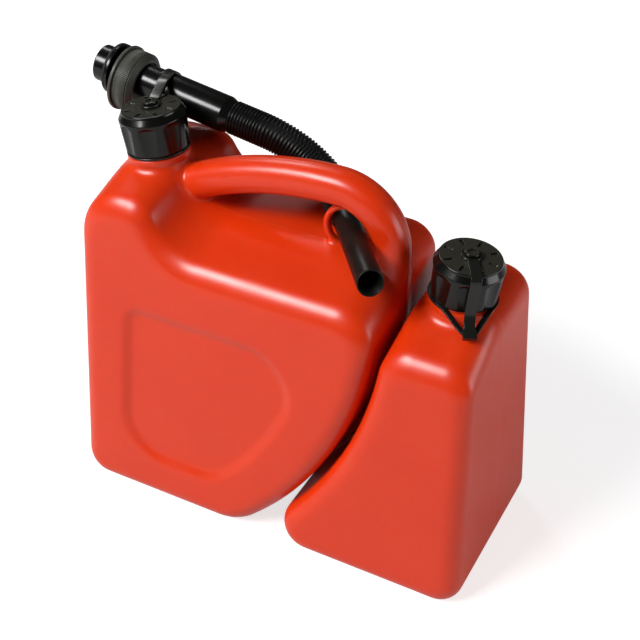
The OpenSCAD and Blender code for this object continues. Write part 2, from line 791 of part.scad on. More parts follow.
// Tether of the petrol cap: eyelet, strap to the back, loop round the spout's hub, and from
// there the strap's lower end to the ring round the neck
module petrol_cap_tether() {
    loop_r = hub_r + seat;
    lift = loop_r + strap_t;
    run = norm([loop_shift, spout_y]);
    top_path = [[button_r + bite / 2, button_z], [run - loop_r, hub_c.z + lift - bite], [run, hub_c.z + lift]];
    ring_mid_z = ring_z + strap_t / 2;
    ring_x = petrol_neck_x - ring_mid_z * sin(petrol_lean);
    loop_foot = hub_c - lift * [sin(spout_fall), 0, cos(spout_fall)];
    turn = atan2(ring_x - loop_foot.x, spout_y);
    start_z = petrol_neck_z + ring_mid_z * cos(petrol_lean) - ring_mid_r * sin(turn) * sin(petrol_lean);
    low_path = [
        [ring_mid_r, start_z], [ring_r + ring_w, start_z], [norm([ring_x - loop_foot.x, spout_y]), loop_foot.z]
    ];
    color(cap_black) {
        on_petrol_neck() {
            eyelet();
            neck_ring();
        }
        translate([button_x, 0, 0])
            rotate([0, 0, atan2(loop_shift, spout_y)])
                ribbon(top_path, strap_w);
        translate([ring_x, 0, 0])
            rotate([0, 0, turn])
                ribbon(low_path, strap_w);
        on_spout(loop_z)
            difference() {
                cylinder(r = loop_r + strap_t, h = strap_w, center = true);
                cylinder(r = loop_r, h = strap_w + 2 * bite, center = true);
            }
    }
}

// Inlet of the spout: stub, flange and the spigot inside the hub
module spout_inlet() {
    stub_bore_r = inlet_r - inlet_wall;
    spigot_r = tube_bore_r - running;
    spigot_bore_r = spigot_r - nipple_wall;
    color(spout_black)
        on_spout(0)
            rotate_extrude()
                polygon([
                    [stub_bore_r, 0], [inlet_r - bevel, 0], [inlet_r, bevel], [inlet_r, inlet_len],
                    [flange_r, inlet_len], [flange_r, hub_z], [spigot_r, hub_z],
                    [spigot_r, hub_z + spigot_len], [spigot_bore_r, hub_z + spigot_len],
                    [spigot_bore_r, inlet_len], [stub_bore_r, gasket_z]
                ]);
}

// Rubber washer on the inlet's flange
module spout_gasket() {
    color(seal_grey)
        on_spout(gasket_z)
            difference() {
                cylinder(r = flange_r, h = gasket_t);
                translate([0, 0, -bite])
                    cylinder(r = inlet_r + running, h = gasket_t + 2 * bite);
            }
}

// Screw collar: lipped mouth, drum and the end wall, loose on the hub so that it hangs low
module spout_collar() {
    lip_r = collar_r + collar_lip;
    color(cap_black)
        on_spout(collar_z)
            translate([collar_sag, 0, 0])
                rotate_extrude()
                    polygon([
                        [cap_bore_r, 0], [lip_r, 0], [lip_r, collar_lip_t], [collar_r, collar_lip_t],
                        [collar_r, collar_len - collar_chamfer], [collar_r - collar_chamfer, collar_len],
                        [collar_hole_r, collar_len], [collar_hole_r, collar_len - collar_end_t],
                        [cap_bore_r, collar_len - collar_end_t]
                    ]);
}

// Rigid tube: hub, shouldered barrel and the nipple that holds the hose
module spout_tube() {
    nipple_bore_r = nipple_r - nipple_wall;
    color(spout_black)
        on_spout(0)
            rotate_extrude()
                polygon([
                    [tube_bore_r, hub_z], [hub_r, hub_z], [hub_r, tube_z], [tube_r, tube_z + bevel],
                    [tube_r, tube_len - tube_taper], [hose_r - rib_depth, tube_len], [nipple_r, tube_len],
                    [nipple_r, tube_len + nipple_len], [nipple_bore_r, tube_len + nipple_len],
                    [nipple_bore_r, tube_len - tube_taper], [tube_bore_r, tube_len - 2 * tube_taper]
                ]);
}

// Point on the hose's bend, from its first straight end to its second
function bend_point(t) =
    let (c1 = hose_a + hose_pull * spout_dir, c2 = hose_b - hose_pull * tip_dir, u = 1 - t)
    u ^ 3 * hose_a + 3 * u * u * t * c1 + 3 * u * t * t * c2 + t ^ 3 * hose_b;

// Point on the hose's route at a share t of its length
function hose_point(t) =
    let (s = t * hose_len)
    s < hose_straight ? tube_end + s * spout_dir
    : s > hose_len - hose_straight ? hose_end - (hose_len - s) * tip_dir
    : bend_point((s - hose_straight) / bend_len);

function hose_dir(t) =
    let (e = rib_probe / ribs)
    unit(hose_point(min(t + e, 1)) - hose_point(max(t - e, 0)));

// Ribbed hose with its bore
module spout_hose() {
    bore_rows = ceil(ribs / bore_ribs);
    outer = [for (i = [0 : 2 * ribs])
        let (t = i / (2 * ribs), r = hose_r - (i % 2 == 0 ? rib_depth : 0))
        tube_ring(hose_point(t), hose_dir(t), r, hose_sides)];
    bore = [for (i = [bore_rows : -1 : 0]) let (t = i / bore_rows)
        tube_ring(hose_point(t), hose_dir(t), hose_bore_r, hose_sides)];
    color(spout_black)
        skinned_loop(concat(outer, bore));
}

// Tip: smooth nozzle with a shoulder against the hose, a nipple inside it and a slanted mouth
module spout_tip() {
    step_r = tip_r + tip_shoulder;
    tip_len = tip_back + tip_reach;
    blank_len = tip_len + tip_r;
    color(spout_black)
        translate(hose_end)
            rotate([90 + tip_fall, 0, tip_swing])
                difference() {
                    rotate_extrude()
                        polygon([
                            [tip_bore_r, -nipple_len], [nipple_r, -nipple_len], [nipple_r, seat], [step_r, seat],
                            [step_r, tip_shoulder_len], [tip_r, tip_shoulder_len + tip_shoulder],
                            [tip_r, blank_len], [tip_bore_r, blank_len]
                        ]);
                    translate([0, 0, tip_len])
                        rotate([-tip_slant, 0, 0])
                            translate([-2 * tip_r, -2 * tip_r, 0])
                                cube(4 * tip_r);
                }
}

petrol_tank();
oil_tank();
petrol_cap();
petrol_cap_seal();
petrol_cap_tether();
oil_cap();
oil_cap_seal();
oil_cap_tether();
spout_inlet();
spout_gasket();
spout_collar();
spout_tube();
spout_hose();
spout_tip();
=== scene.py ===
"""Twin-tank fuel can with a stored pouring spout, dressed for a studio view. Sizes are in millimetres."""
import math

import bpy
import bmesh
import numpy as np
from mathutils import Matrix, Vector
from mathutils.bvhtree import BVHTree


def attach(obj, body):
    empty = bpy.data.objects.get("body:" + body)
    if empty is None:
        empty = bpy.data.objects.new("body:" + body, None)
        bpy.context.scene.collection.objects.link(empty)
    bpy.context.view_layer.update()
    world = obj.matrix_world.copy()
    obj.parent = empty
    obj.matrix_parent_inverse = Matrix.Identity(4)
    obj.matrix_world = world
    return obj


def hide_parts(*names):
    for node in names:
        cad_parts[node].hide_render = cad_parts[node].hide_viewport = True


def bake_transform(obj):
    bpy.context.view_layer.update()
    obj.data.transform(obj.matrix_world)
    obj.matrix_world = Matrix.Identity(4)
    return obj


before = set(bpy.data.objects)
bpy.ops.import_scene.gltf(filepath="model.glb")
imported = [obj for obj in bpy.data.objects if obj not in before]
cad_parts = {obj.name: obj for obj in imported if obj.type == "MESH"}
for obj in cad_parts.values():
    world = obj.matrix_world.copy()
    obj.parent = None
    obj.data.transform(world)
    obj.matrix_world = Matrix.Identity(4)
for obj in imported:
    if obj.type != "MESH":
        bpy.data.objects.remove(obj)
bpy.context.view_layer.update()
scene = bpy.context.scene
scene.view_settings.view_transform = "Standard"
MM = 0.001

# Sizes of the solids that the dressed pieces follow
DEPTH, FACE_DRAFT, END_LEAN, EDGE_R, BACK_RISE = 157, 4.7, 2.8, 15, 4
PETROL_LEFT, PETROL_RIGHT, SWEEP_R, SWEEP_Z = 81, 176, 300, 231
SHOULDER_Z, SHOULDER_RISE, SHOULDER_R, SHOULDER_BACK_R = 226, 20, 30, 22
HUMP_Z, HUMP_RISE, HUMP_X, HUMP_SKEW, HUMP_R, HUMP_TURN = 265, 17, -27, 16, 20, 65
CROWN_R, FOOT_R, TOE_R = 38, 22, 45
RECESS_MARGIN, RECESS_FOOT, RECESS_DROP, RECESS_DEPTH = 43, 40, 47, 3.8
RECESS_OUT, RECESS_IN, RECESS_R, RECESS_SMALL_R = 4, 7, 38, 14
PANEL_STOPS = (0.7, 0.35, 0.3, 0.1)
TANK_GAP, OIL_RIGHT, OIL_SHOULDER_Z, OIL_RISE = 7, 261, 206, 23
OIL_FOOT_R, OIL_HEEL_R, OIL_LEFT_R, OIL_RIGHT_R = 22, 20, 26, 22
WEB_T, WEB_LOW, WEB_HIGH, WALL, SEAT = 5, 20, 190, 2.6, 0.3
HANDLE_R, FINGER_GAP, ARCH_R, BEND_R, LEG_INSET = 13.5, 34, 270, 42, 13
EYE_R, EYE_RIM, EYE_T, EYE_INSET, EYE_DROP = 15.6, 4.5, 7, 34, 3.5
NECK_R, NECK_BORE_R, BEAD_R, BEAD_H, NECK_ROOT, NECK_FOOT_R = 21, 17.8, 24, 3, 18, 28
PETROL_NECK_X, PETROL_LEAN, OIL_NECK_X, OIL_LEAN = -30.5, 7, 218, 6
CAP_R, CAP_H, CAP_TOP_T, CAP_BORE_R, CAP_TAPER, PLATE_R, PLATE_H = 25.4, 31, 3.5, 21.8, 1.4, 22.4, 1.6
LOBES, LOBE_R, LOBE_DEPTH, LOBE_DROP, HOOD_H, HOOD_RUN = 8, 20, 2.4, 6, 4, 1.5
SLOTS, SLOT_LEN, SLOT_W, SLOT_DEPTH, SLOT_EDGE = 8, 6, 2, 1.2, 2.8
SEAL_T, STEM_R, BUTTON_R, BUTTON_T = 2, 4, 5.5, 2
STRAP_W, STRAP_T, EYELET_W, TETHER_TURN, RING_W = 8, 1.8, 2, 31, 4
SPOUT_FALL, TUBE_REACH, TUBE_R, TUBE_BORE_R, TUBE_TAPER = 9.5, 59.5, 14, 10.6, 6
HUB_R, HUB_LEN, LOOP_GAP, LOOP_SHIFT, SPOUT_DROP, SPOUT_CAP_GAP = 13.2, 49, 2, 14, 8.8, 2.6
INLET_R, INLET_WALL, INLET_LEN, FLANGE_R, FLANGE_T, GASKET_T = 14.4, 2.6, 14, 20, 2.5, 2
COLLAR_R, COLLAR_SLACK, COLLAR_LEN, COLLAR_END_T, COLLAR_HOLE_R = 24, 5, 19, 4, 18.2
COLLAR_LIP, COLLAR_LIP_T, COLLAR_CHAMFER = 1.6, 2.5, 3.5
HOSE_R, RIB_DEPTH, RIB_PITCH, HOSE_EASE = 13, 1.3, 2.6, 0.42
TIP_R, TIP_BORE_R, TIP_SLANT, TIP_SHOULDER, TIP_SHOULDER_LEN = 9.6, 7.6, 15, 1.8, 4
TIP_REACH, TIP_BACK, TIP_SWING, TIP_FALL = 67, 20, 39, 2
NIPPLE_R, NIPPLE_LEN, NIPPLE_WALL, SPIGOT_LEN = 9.386, 15, 1.8, 30
RUNNING, RIDGE_SOFT, LEAST_R = 0.08, 0.22, 0.6

# Small detail of the dressed pieces
DISH_R, DISH_FOOT_R, DISH_RISE = 3.0, 2.6, 0.7
TAB_T, TAB_EXTRA_W, RING_SLIM, FACE_GAP = 4.6, 2, 1.2, 0.02
KNURL_R, KNURL_RIDGES, KNURL_BED, KNURL_SINK = 0.42, 110, 0.3, 0.35
GROOVE_DEPTH, GROOVE_ROOM = 1.1, 1.4
TIP_LIP, TIP_COUNTERSINK, TIP_SLANT_RUN = 0.9, 5, 7

HALF = DEPTH / 2
LEAN_RUN = math.tan(math.radians(END_LEAN))
LEAN_COS = math.cos(math.radians(END_LEAN))
SWEEP_C = np.array([PETROL_RIGHT - SWEEP_R, SWEEP_Z], float)
RIDGE_Z = SHOULDER_Z + SHOULDER_RISE
LEG_X = PETROL_RIGHT - LEG_INSET
HANDLE_Z = RIDGE_Z + FINGER_GAP + HANDLE_R
APEX_X = LEG_X - BEND_R
EYE_C = np.array([LEG_X - EYE_INSET, HANDLE_Z - HANDLE_R - EYE_DROP - EYE_R])
RING_Z = BEAD_H + SEAT
SKIRT_Z = RING_Z + STRAP_T + 2 * SEAT
CAP_TOP_Z = SKIRT_Z + CAP_H
SEAL_TOP_Z = CAP_TOP_Z - CAP_TOP_T
RIM_Z = SEAL_TOP_Z - SEAL_T - SEAT
EYELET_Z = CAP_TOP_Z + SEAT
HEAD_Z = EYELET_Z + STRAP_T + SEAT
RING_R = NECK_R + SEAT
RING_MID_R = RING_R + RING_W / 2


def turn(axis, degrees):
    return Matrix.Rotation(math.radians(degrees), 4, axis)


def place(x, y, z):
    return Matrix.Translation((x, y, z))


PETROL_NECK = place(PETROL_NECK_X, 0, HUMP_Z + HUMP_RISE) @ turn("Y", -PETROL_LEAN)
OIL_NECK = place(OIL_NECK_X, 0, OIL_SHOULDER_Z + OIL_RISE) @ turn("Y", OIL_LEAN)

# Stations along the spout's axis, from the inlet's mouth
BUTTON = np.array(PETROL_NECK @ Vector((0, 0, EYELET_Z)))
BUTTON_MID_Z = HUMP_Z + HUMP_RISE + (EYELET_Z + STRAP_T / 2) * math.cos(math.radians(PETROL_LEAN))
SPOUT_Y = CAP_R + TUBE_R + SPOUT_CAP_GAP
FALL = math.radians(SPOUT_FALL)
SPOUT_DIR = np.array([math.cos(FALL), 0, -math.sin(FALL)])
HUB_C = np.array([BUTTON[0] - LOOP_SHIFT, SPOUT_Y, BUTTON_MID_Z - SPOUT_DROP])
TUBE_END = HUB_C + TUBE_REACH * SPOUT_DIR
GASKET_Z = INLET_LEN - GASKET_T
HUB_Z = INLET_LEN + FLANGE_T
TUBE_Z = HUB_Z + HUB_LEN
LOOP_Z = TUBE_Z - LOOP_GAP - STRAP_W / 2
TUBE_LEN = LOOP_Z + TUBE_REACH
COLLAR_Z = HUB_Z + COLLAR_SLACK
KNURL_END = COLLAR_Z + COLLAR_LEN - COLLAR_CHAMFER - GROOVE_ROOM
SPOUT = place(*(TUBE_END - TUBE_LEN * SPOUT_DIR)) @ turn("Y", 90 + SPOUT_FALL)
HUNG = SPOUT @ place(COLLAR_HOLE_R - HUB_R - SEAT, 0, 0)
SWING, DIP = math.radians(TIP_SWING), math.radians(TIP_FALL)
TIP_DIR = np.array([math.sin(SWING) * math.cos(DIP), -math.cos(SWING) * math.cos(DIP), -math.sin(DIP)])
HOSE_END = np.array([EYE_C[0], 0, EYE_C[1]]) - TIP_BACK * TIP_DIR
TIP = place(*HOSE_END) @ turn("Z", TIP_SWING) @ turn("X", 90 + TIP_FALL)


# Materials

def linear(code, alpha=1.0):
    """An sRGB hex colour as linear values."""
    parts = [int(code[i:i + 2], 16) / 255 for i in (1, 3, 5)]
    return tuple(c / 12.92 if c <= 0.04045 else ((c + 0.055) / 1.055) ** 2.4 for c in parts) + (alpha,)


def node(tree, kind, links=None, **settings):
    """Adds a node. links maps an input to a socket or a plain value, settings are the node's own fields."""
    made = tree.nodes.new(kind)
    for key, value in settings.items():
        setattr(made, key, value)
    for key, value in (links or {}).items():
        if isinstance(value, bpy.types.NodeSocket):
            tree.links.new(value, made.inputs[key])
        else:
            made.inputs[key].default_value = value
    return made


def start_material(name):
    made = bpy.data.materials.new(name)
    made.use_nodes = True
    tree = made.node_tree
    shader = tree.nodes["Principled BSDF"]
    place_node = node(tree, "ShaderNodeTexCoord")
    return made, tree, shader, place_node.outputs["Object"]


def blown_polyethylene():
    """HDPE blown into a mould: satin skin, faint waves from cooling, fine mould grain and a parting line."""
    wave_mm, wave_high, grain_mm, grain_high, scuff_mm = 45, 1.2, 1.6, 0.1, 30
    seam_core, seam_edge, seam_high, sink_mm = 0.2, 1.1, 0.4, 9
    made, tree, shader, where = start_material("blown_polyethylene_red")
    waves = node(tree, "ShaderNodeTexNoise", {"Vector": where, "Scale": 1 / (wave_mm * MM),
                                              "Detail": 2.0, "Roughness": 0.45})
    grain = node(tree, "ShaderNodeTexNoise", {"Vector": where, "Scale": 1 / (grain_mm * MM),
                                              "Detail": 2.0, "Roughness": 0.6})
    scuff = node(tree, "ShaderNodeTexNoise", {"Vector": where, "Scale": 1 / (scuff_mm * MM),
                                              "Detail": 3.0, "Roughness": 0.5})
    axes = node(tree, "ShaderNodeSeparateXYZ", {"Vector": where})
    off = node(tree, "ShaderNodeMath", {0: axes.outputs["Y"]}, operation="ABSOLUTE")
    seam = node(tree, "ShaderNodeMapRange", {"Value": off.outputs[0], "From Min": seam_core * MM,
                                             "From Max": seam_edge * MM, "To Min": 1.0, "To Max": 0.0},
                interpolation_type="SMOOTHSTEP")
    body = node(tree, "ShaderNodeMix", {"Factor": waves.outputs["Fac"], "A": linear("#e03405"),
                                        "B": linear("#e83d08")}, data_type="RGBA")
    tint = node(tree, "ShaderNodeMix", {"Factor": seam.outputs["Result"], "A": body.outputs["Result"],
                                        "B": linear("#e84312")}, data_type="RGBA")
    rough = node(tree, "ShaderNodeMapRange", {"Value": scuff.outputs["Fac"], "From Min": 0.3, "From Max": 0.7,
                                              "To Min": 0.285, "To Max": 0.34})
    swell = node(tree, "ShaderNodeBump", {"Height": waves.outputs["Fac"], "Strength": 0.25,
                                          "Distance": wave_high * MM})
    skin = node(tree, "ShaderNodeBump", {"Height": grain.outputs["Fac"], "Strength": 0.05,
                                         "Distance": grain_high * MM, "Normal": swell.outputs["Normal"]})
    line = node(tree, "ShaderNodeBump", {"Height": seam.outputs["Result"], "Strength": 0.3,
                                         "Distance": seam_high * MM, "Normal": skin.outputs["Normal"]})
    tree.links.new(tint.outputs["Result"], shader.inputs["Base Color"])
    tree.links.new(rough.outputs["Result"], shader.inputs["Roughness"])
    tree.links.new(line.outputs["Normal"], shader.inputs["Normal"])
    shader.inputs["IOR"].default_value = 1.54
    shader.inputs["Specular IOR Level"].default_value = 0.5
    # Red light sinks about 9 mm into the plastic, so the gap between the tanks glows a little.
    shader.inputs["Subsurface Weight"].default_value = 0.45
    shader.inputs["Subsurface Radius"].default_value = (1.0, 0.2, 0.1)
    shader.inputs["Subsurface Scale"].default_value = sink_mm * MM
    return made


def black_plastic(name, dark, light, roughness, spread, grain_mm, grain_depth, gloss, painted_top_sheen=None):
    """Moulded black plastic: a faint grey bloom, uneven gloss, mould grain and any painted sheen on its top,
    a lighter grey where it faces up.
    """
    bloom_mm = 12
    made, tree, shader, where = start_material(name)
    bloom = node(tree, "ShaderNodeTexNoise", {"Vector": where, "Scale": 1 / (bloom_mm * MM),
                                              "Detail": 5.0, "Roughness": 0.6})
    grain = node(tree, "ShaderNodeTexNoise", {"Vector": where, "Scale": 1 / (grain_mm * MM), "Detail": 2.0})
    tint = node(tree, "ShaderNodeMix", {"Factor": bloom.outputs["Fac"], "A": linear(dark),
                                        "B": linear(light)}, data_type="RGBA")
    # Painted sheen: faces that look up are mixed towards a lighter grey, standing in for light falling on the
    # top.
    if painted_top_sheen:
        facing = node(tree, "ShaderNodeTexCoord").outputs["Normal"]
        up = node(tree, "ShaderNodeSeparateXYZ", {"Vector": facing})
        level = node(tree, "ShaderNodeMapRange", {"Value": up.outputs["Z"], "From Min": 0.8,
                                                  "From Max": 0.98}, interpolation_type="SMOOTHSTEP")
        tint = node(tree, "ShaderNodeMix", {"Factor": level.outputs["Result"], "A": tint.outputs["Result"],
                                            "B": linear(painted_top_sheen)}, data_type="RGBA")
    rough = node(tree, "ShaderNodeMapRange", {"Value": bloom.outputs["Fac"], "From Min": 0.3, "From Max": 0.7,
                                              "To Min": roughness - spread, "To Max": roughness + spread})
    skin = node(tree, "ShaderNodeBump", {"Height": grain.outputs["Fac"], "Strength": 0.35,
                                         "Distance": grain_depth * MM})
    tree.links.new(tint.outputs["Result"], shader.inputs["Base Color"])
    tree.links.new(rough.outputs["Result"], shader.inputs["Roughness"])
    tree.links.new(skin.outputs["Normal"], shader.inputs["Normal"])
    shader.inputs["IOR"].default_value = 1.49
    shader.inputs["Specular IOR Level"].default_value = gloss
    return made


tank_red = blown_polyethylene()
# The caps get a painted sheen on their tops: a lighter grey where they face up.
cap_black = black_plastic("moulded_polypropylene_black", "#080806", "#0e0e0b", 0.2, 0.03, 0.5, 0.02, 0.4,
                          painted_top_sheen="#302f28")
tip_black = black_plastic("worn_polyethylene_black", "#0d0d0b", "#171612", 0.37, 0.05, 1.2, 0.03, 0.3)
collar_black = black_plastic("knurled_polypropylene_black", "#3c3c37", "#4e4e47", 0.48, 0.06, 0.5, 0.04, 0.4)
spout_black = black_plastic("moulded_polyethylene_black", "#080807", "#0c0c0b", 0.22, 0.03, 2.4, 0.02, 0.4)
hose_black = black_plastic("corrugated_polyethylene_black", "#080807", "#0d0d0c", 0.33, 0.04, 1.0, 0.02, 0.25)
strap_black = black_plastic("soft_strap_black", "#141411", "#1f1f1b", 0.23, 0.03, 0.6, 0.03, 0.5)
seal_grey = black_plastic("nitrile_rubber_black", "#1c1c1d", "#2a2a2a", 0.75, 0.08, 0.5, 0.08, 0.4)


# Meshes

def closed_mesh(name, verts, faces, material, matrix=None):
    """A smooth closed piece from points in millimetres, with merged poles and outward faces."""
    mesh = bpy.data.meshes.new(name)
    mesh.from_pydata([tuple(v) for v in verts], [], [tuple(f) for f in faces])
    if matrix is not None:
        mesh.transform(matrix)
    mesh.transform(Matrix.Scale(MM, 4))
    work = bmesh.new()
    work.from_mesh(mesh)
    bmesh.ops.remove_doubles(work, verts=work.verts, dist=1e-7)
    bmesh.ops.dissolve_degenerate(work, edges=work.edges, dist=1e-8)
    bmesh.ops.recalc_face_normals(work, faces=work.faces)
    for face in work.faces:
        face.smooth = len(face.verts) <= 4
    work.to_mesh(mesh)
    work.free()
    mesh.materials.append(material)
    made = bpy.data.objects.new(name, mesh)
    scene.collection.objects.link(made)
    return made


def settle(piece, body, slot, *nodes):
    """Hangs a finished piece on its body and lets it stand for its nodes."""
    if body:
        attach(piece, body)
    if nodes:
        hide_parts(*nodes)


def eased(points, steps=5):
    """Rounds the corners of a profile. Each point is (radius, height, rounding)."""
    out = []
    count = len(points)
    for i, (r, z, f) in enumerate(points):
        here = np.array([r, z], float)
        if f <= 0:
            out.append(here)
            continue
        before = np.array(points[i - 1][:2], float) - here
        after = np.array(points[(i + 1) % count][:2], float) - here
        la, lb = np.linalg.norm(before), np.linalg.norm(after)
        before, after = before / la, after / lb
        angle = math.acos(max(-1, min(1, float(before @ after))))
        reach = min(f / math.tan(angle / 2), 0.48 * la, 0.48 * lb)
        a, b = here + before * reach, here + after * reach
        for k in range(steps + 1):
            t = k / steps
            out.append((1 - t) ** 2 * a + 2 * t * (1 - t) * here + t * t * b)
    return out


def dense(profile, step):
    """An open profile with no side longer than step."""
    out = []
    for a, b in zip(profile, profile[1:]):
        n = max(1, math.ceil(np.linalg.norm(b - a) / step))
        out += [a + (b - a) * k / n for k in range(n)]
    return out + [profile[-1]]


def round_faces(around, rows, closed=True):
    """Faces of a skin that goes right round in columns of rows points."""
    faces = []
    for k in range(around):
        m = (k + 1) % around
        for i in range(rows if closed else rows - 1):
            j = (i + 1) % rows
            faces.append((k * rows + i, m * rows + i, m * rows + j, k * rows + j))
    return faces


def revolved(name, profile, material, matrix, around=96, closed=True, warp=None):
    """A turned piece. warp moves (radius, height, angle) to a new (radius, height)."""
    verts = []
    for k in range(around):
        a = 2 * math.pi * k / around
        for r, z in profile:
            if warp is not None:
                r, z = warp(r, z, a)
            verts.append((r * math.cos(a), r * math.sin(a), z))
    return closed_mesh(name, verts, round_faces(around, len(profile), closed), material, matrix)


def skinned(rings):
    """Points and faces of a closed skin over a stack of rings."""
    n = len(rings[0])
    verts = [p for ring in rings for p in ring]
    faces = [tuple(range(n))]
    for j in range(len(rings) - 1):
        for i in range(n):
            m = (i + 1) % n
            faces.append((j * n + i, j * n + m, (j + 1) * n + m, (j + 1) * n + i))
    last = (len(rings) - 1) * n
    faces.append(tuple(range(last + n - 1, last - 1, -1)))
    return verts, faces


def bulged(value, power):
    """A sine or cosine raised to a power with its sign kept, which squares a round section."""
    return math.copysign(abs(value) ** power, value)


# Blown tanks

def run(c0, c1, r, a0, a1, n, closed, inset):
    """A stretch of outline: an arc of radius r, below 0 if hollow, whose centre goes from c0 to c1."""
    out = []
    for i in range(n + (1 if closed else 0)):
        t = i / n
        a = math.radians(a0 + (a1 - a0) * t)
        rr = max(r - inset, LEAST_R) if r > 0 else r - inset
        out.append(np.array(c0) * (1 - t) + np.array(c1) * t + rr * np.array([math.cos(a), math.sin(a)]))
    return out


def bearing(dz, dx):
    """The angle of a direction, in degrees."""
    return math.degrees(math.atan2(dz, dx))


def ramp(y):
    """Nought in the parting plane and 1 at the faces, with a soft ridge."""
    t = y / HALF
    return (math.sqrt(t * t + RIDGE_SOFT ** 2) - RIDGE_SOFT) / (math.sqrt(1 + RIDGE_SOFT ** 2) - RIDGE_SOFT)


def rise_at(y, rise):
    """How far the roof stands above its front edge at depth y."""
    return rise + (-rise if y < 0 else BACK_RISE) * ramp(y)


def on_sweep(r, z):
    """The point at height z on a circle of radius r round the sweep's centre."""
    return np.array([SWEEP_C[0] + math.sqrt(r * r - (z - SWEEP_Z) ** 2), z])


def petrol_outline(y, inset, fine):
    zs, zt = SHOULDER_Z + rise_at(y, SHOULDER_RISE), HUMP_Z + rise_at(y, HUMP_RISE)
    foot = (-PETROL_LEFT + LEAN_RUN * FOOT_R + FOOT_R / LEAN_COS, FOOT_R)
    toe = on_sweep(SWEEP_R - TOE_R, TOE_R)
    top_r = SHOULDER_R + (SHOULDER_BACK_R - SHOULDER_R) * (y / DEPTH + 0.5)
    top = on_sweep(SWEEP_R - top_r, zs - top_r)
    toe_a = bearing(toe[1] - SWEEP_Z, toe[0] - SWEEP_C[0])
    top_a = bearing(top[1] - SWEEP_Z, top[0] - SWEEP_C[0])
    up = 90 - HUMP_TURN
    slope = np.array([math.cos(math.radians(up)), math.sin(math.radians(up))])
    hump = np.array([HUMP_X + HUMP_SKEW * (y / DEPTH + 0.5), zt - HUMP_R])
    dip_r = (hump[1] + HUMP_R * slope[1] - zs) / (1 - slope[1])
    dip = hump + (HUMP_R + dip_r) * slope
    crown_z = zt - CROWN_R
    crown = (-PETROL_LEFT + LEAN_RUN * crown_z + CROWN_R / LEAN_COS, crown_z)
    return (run(foot, foot, FOOT_R, 180 - END_LEAN, 270, 3 * fine, True, inset)
            + run(toe, toe, TOE_R, -90, toe_a, 3 * fine, False, inset)
            + run(SWEEP_C, SWEEP_C, SWEEP_R, toe_a, top_a, 4 * fine, False, inset)
            + run(top, top, top_r, top_a, 90, 4 * fine, True, inset)
            + run(dip, dip, -dip_r, 90, up, 3 * fine, False, inset)
            + run(hump, hump, HUMP_R, up, 90, 2 * fine, True, inset)
            + run(crown, crown, CROWN_R, 90, 180 - END_LEAN, 4 * fine, True, inset))


def recess_outline(inset, fine):
    r, small, sweep = RECESS_R, RECESS_SMALL_R, SWEEP_R - RECESS_MARGIN
    left, top_z = -PETROL_LEFT + RECESS_MARGIN, SHOULDER_Z - RECESS_DROP
    foot = (left + LEAN_RUN * r + r / LEAN_COS, RECESS_FOOT + r)
    toe, top = on_sweep(sweep - r, foot[1]), on_sweep(sweep - r, top_z - r)
    toe_a = bearing(toe[1] - SWEEP_Z, toe[0] - SWEEP_C[0])
    top_a = bearing(top[1] - SWEEP_Z, top[0] - SWEEP_C[0])
    crown_z = top_z - small
    crown = (left + LEAN_RUN * crown_z + small / LEAN_COS, crown_z)
    stops = [(crown[0] + (top[0] - crown[0]) * t, top_z) for t in PANEL_STOPS]
    return (run(foot, foot, r, 180 - END_LEAN, 270, 3 * fine, True, inset)
            + run(toe, toe, r, -90, toe_a, 3 * fine, False, inset)
            + run(SWEEP_C, SWEEP_C, sweep, toe_a, top_a, 4 * fine, False, inset)
            + run(top, top, r, top_a, 90, 4 * fine, True, inset)
            + run(stops[0], stops[1], 0, 90, 90, 3 * fine, False, inset)
            + run(stops[2], stops[3], 0, 90, 90, 2 * fine, True, inset)
            + run(crown, crown, small, 90, 180 - END_LEAN, 4 * fine, True, inset))


def oil_outline(y, inset, fine):
    zt, nest = OIL_SHOULDER_Z + rise_at(y, OIL_RISE), SWEEP_R + TANK_GAP
    foot = on_sweep(nest + OIL_FOOT_R, OIL_FOOT_R)
    heel = (OIL_RIGHT - LEAN_RUN * OIL_HEEL_R - OIL_HEEL_R / LEAN_COS, OIL_HEEL_R)
    zr, zl = zt - OIL_RIGHT_R, zt - OIL_LEFT_R
    right = (OIL_RIGHT - LEAN_RUN * zr - OIL_RIGHT_R / LEAN_COS, zr)
    left = on_sweep(nest + OIL_LEFT_R, zl)
    wall_a = bearing(SWEEP_Z - zl, SWEEP_C[0] - left[0]) % 360
    foot_a = bearing(SWEEP_Z - OIL_FOOT_R, SWEEP_C[0] - foot[0])
    return (run(heel, heel, OIL_HEEL_R, 270, 360 + END_LEAN, 3 * fine, True, inset)
            + run(right, right, OIL_RIGHT_R, END_LEAN, 90, 3 * fine, True, inset)
            + run(left, left, OIL_LEFT_R, 90, wall_a, 3 * fine, False, inset)
            + run(SWEEP_C, SWEEP_C, -nest, wall_a, foot_a, 4 * fine, False, inset)
            + run(foot, foot, OIL_FOOT_R, foot_a, 270, 4 * fine, True, inset))


def stations(half, r, edge, middle):
    """The depth and inset of each ring of a tank, rounded at the front and the back."""
    front = []
    for k in range(edge, -1, -1):
        a = math.radians(90 * k / edge)
        front.append((-half + r - r * math.sin(a), r - r * math.cos(a)))
    between = [((half - r) * (2 * k / middle - 1), 0) for k in range(1, middle)]
    return front + between + [(-y, i) for y, i in reversed(front)]


def ring_at(outline, y):
    """An outline at depth y, drawn in towards the top by the faces' draft."""
    draft = math.tan(math.radians(FACE_DRAFT)) / HALF
    return [(p[0], y * (1 - p[1] * draft), p[1]) for p in outline]


def smooth(t):
    t = np.clip(t, 0, 1)
    return t * t * (3 - 2 * t)


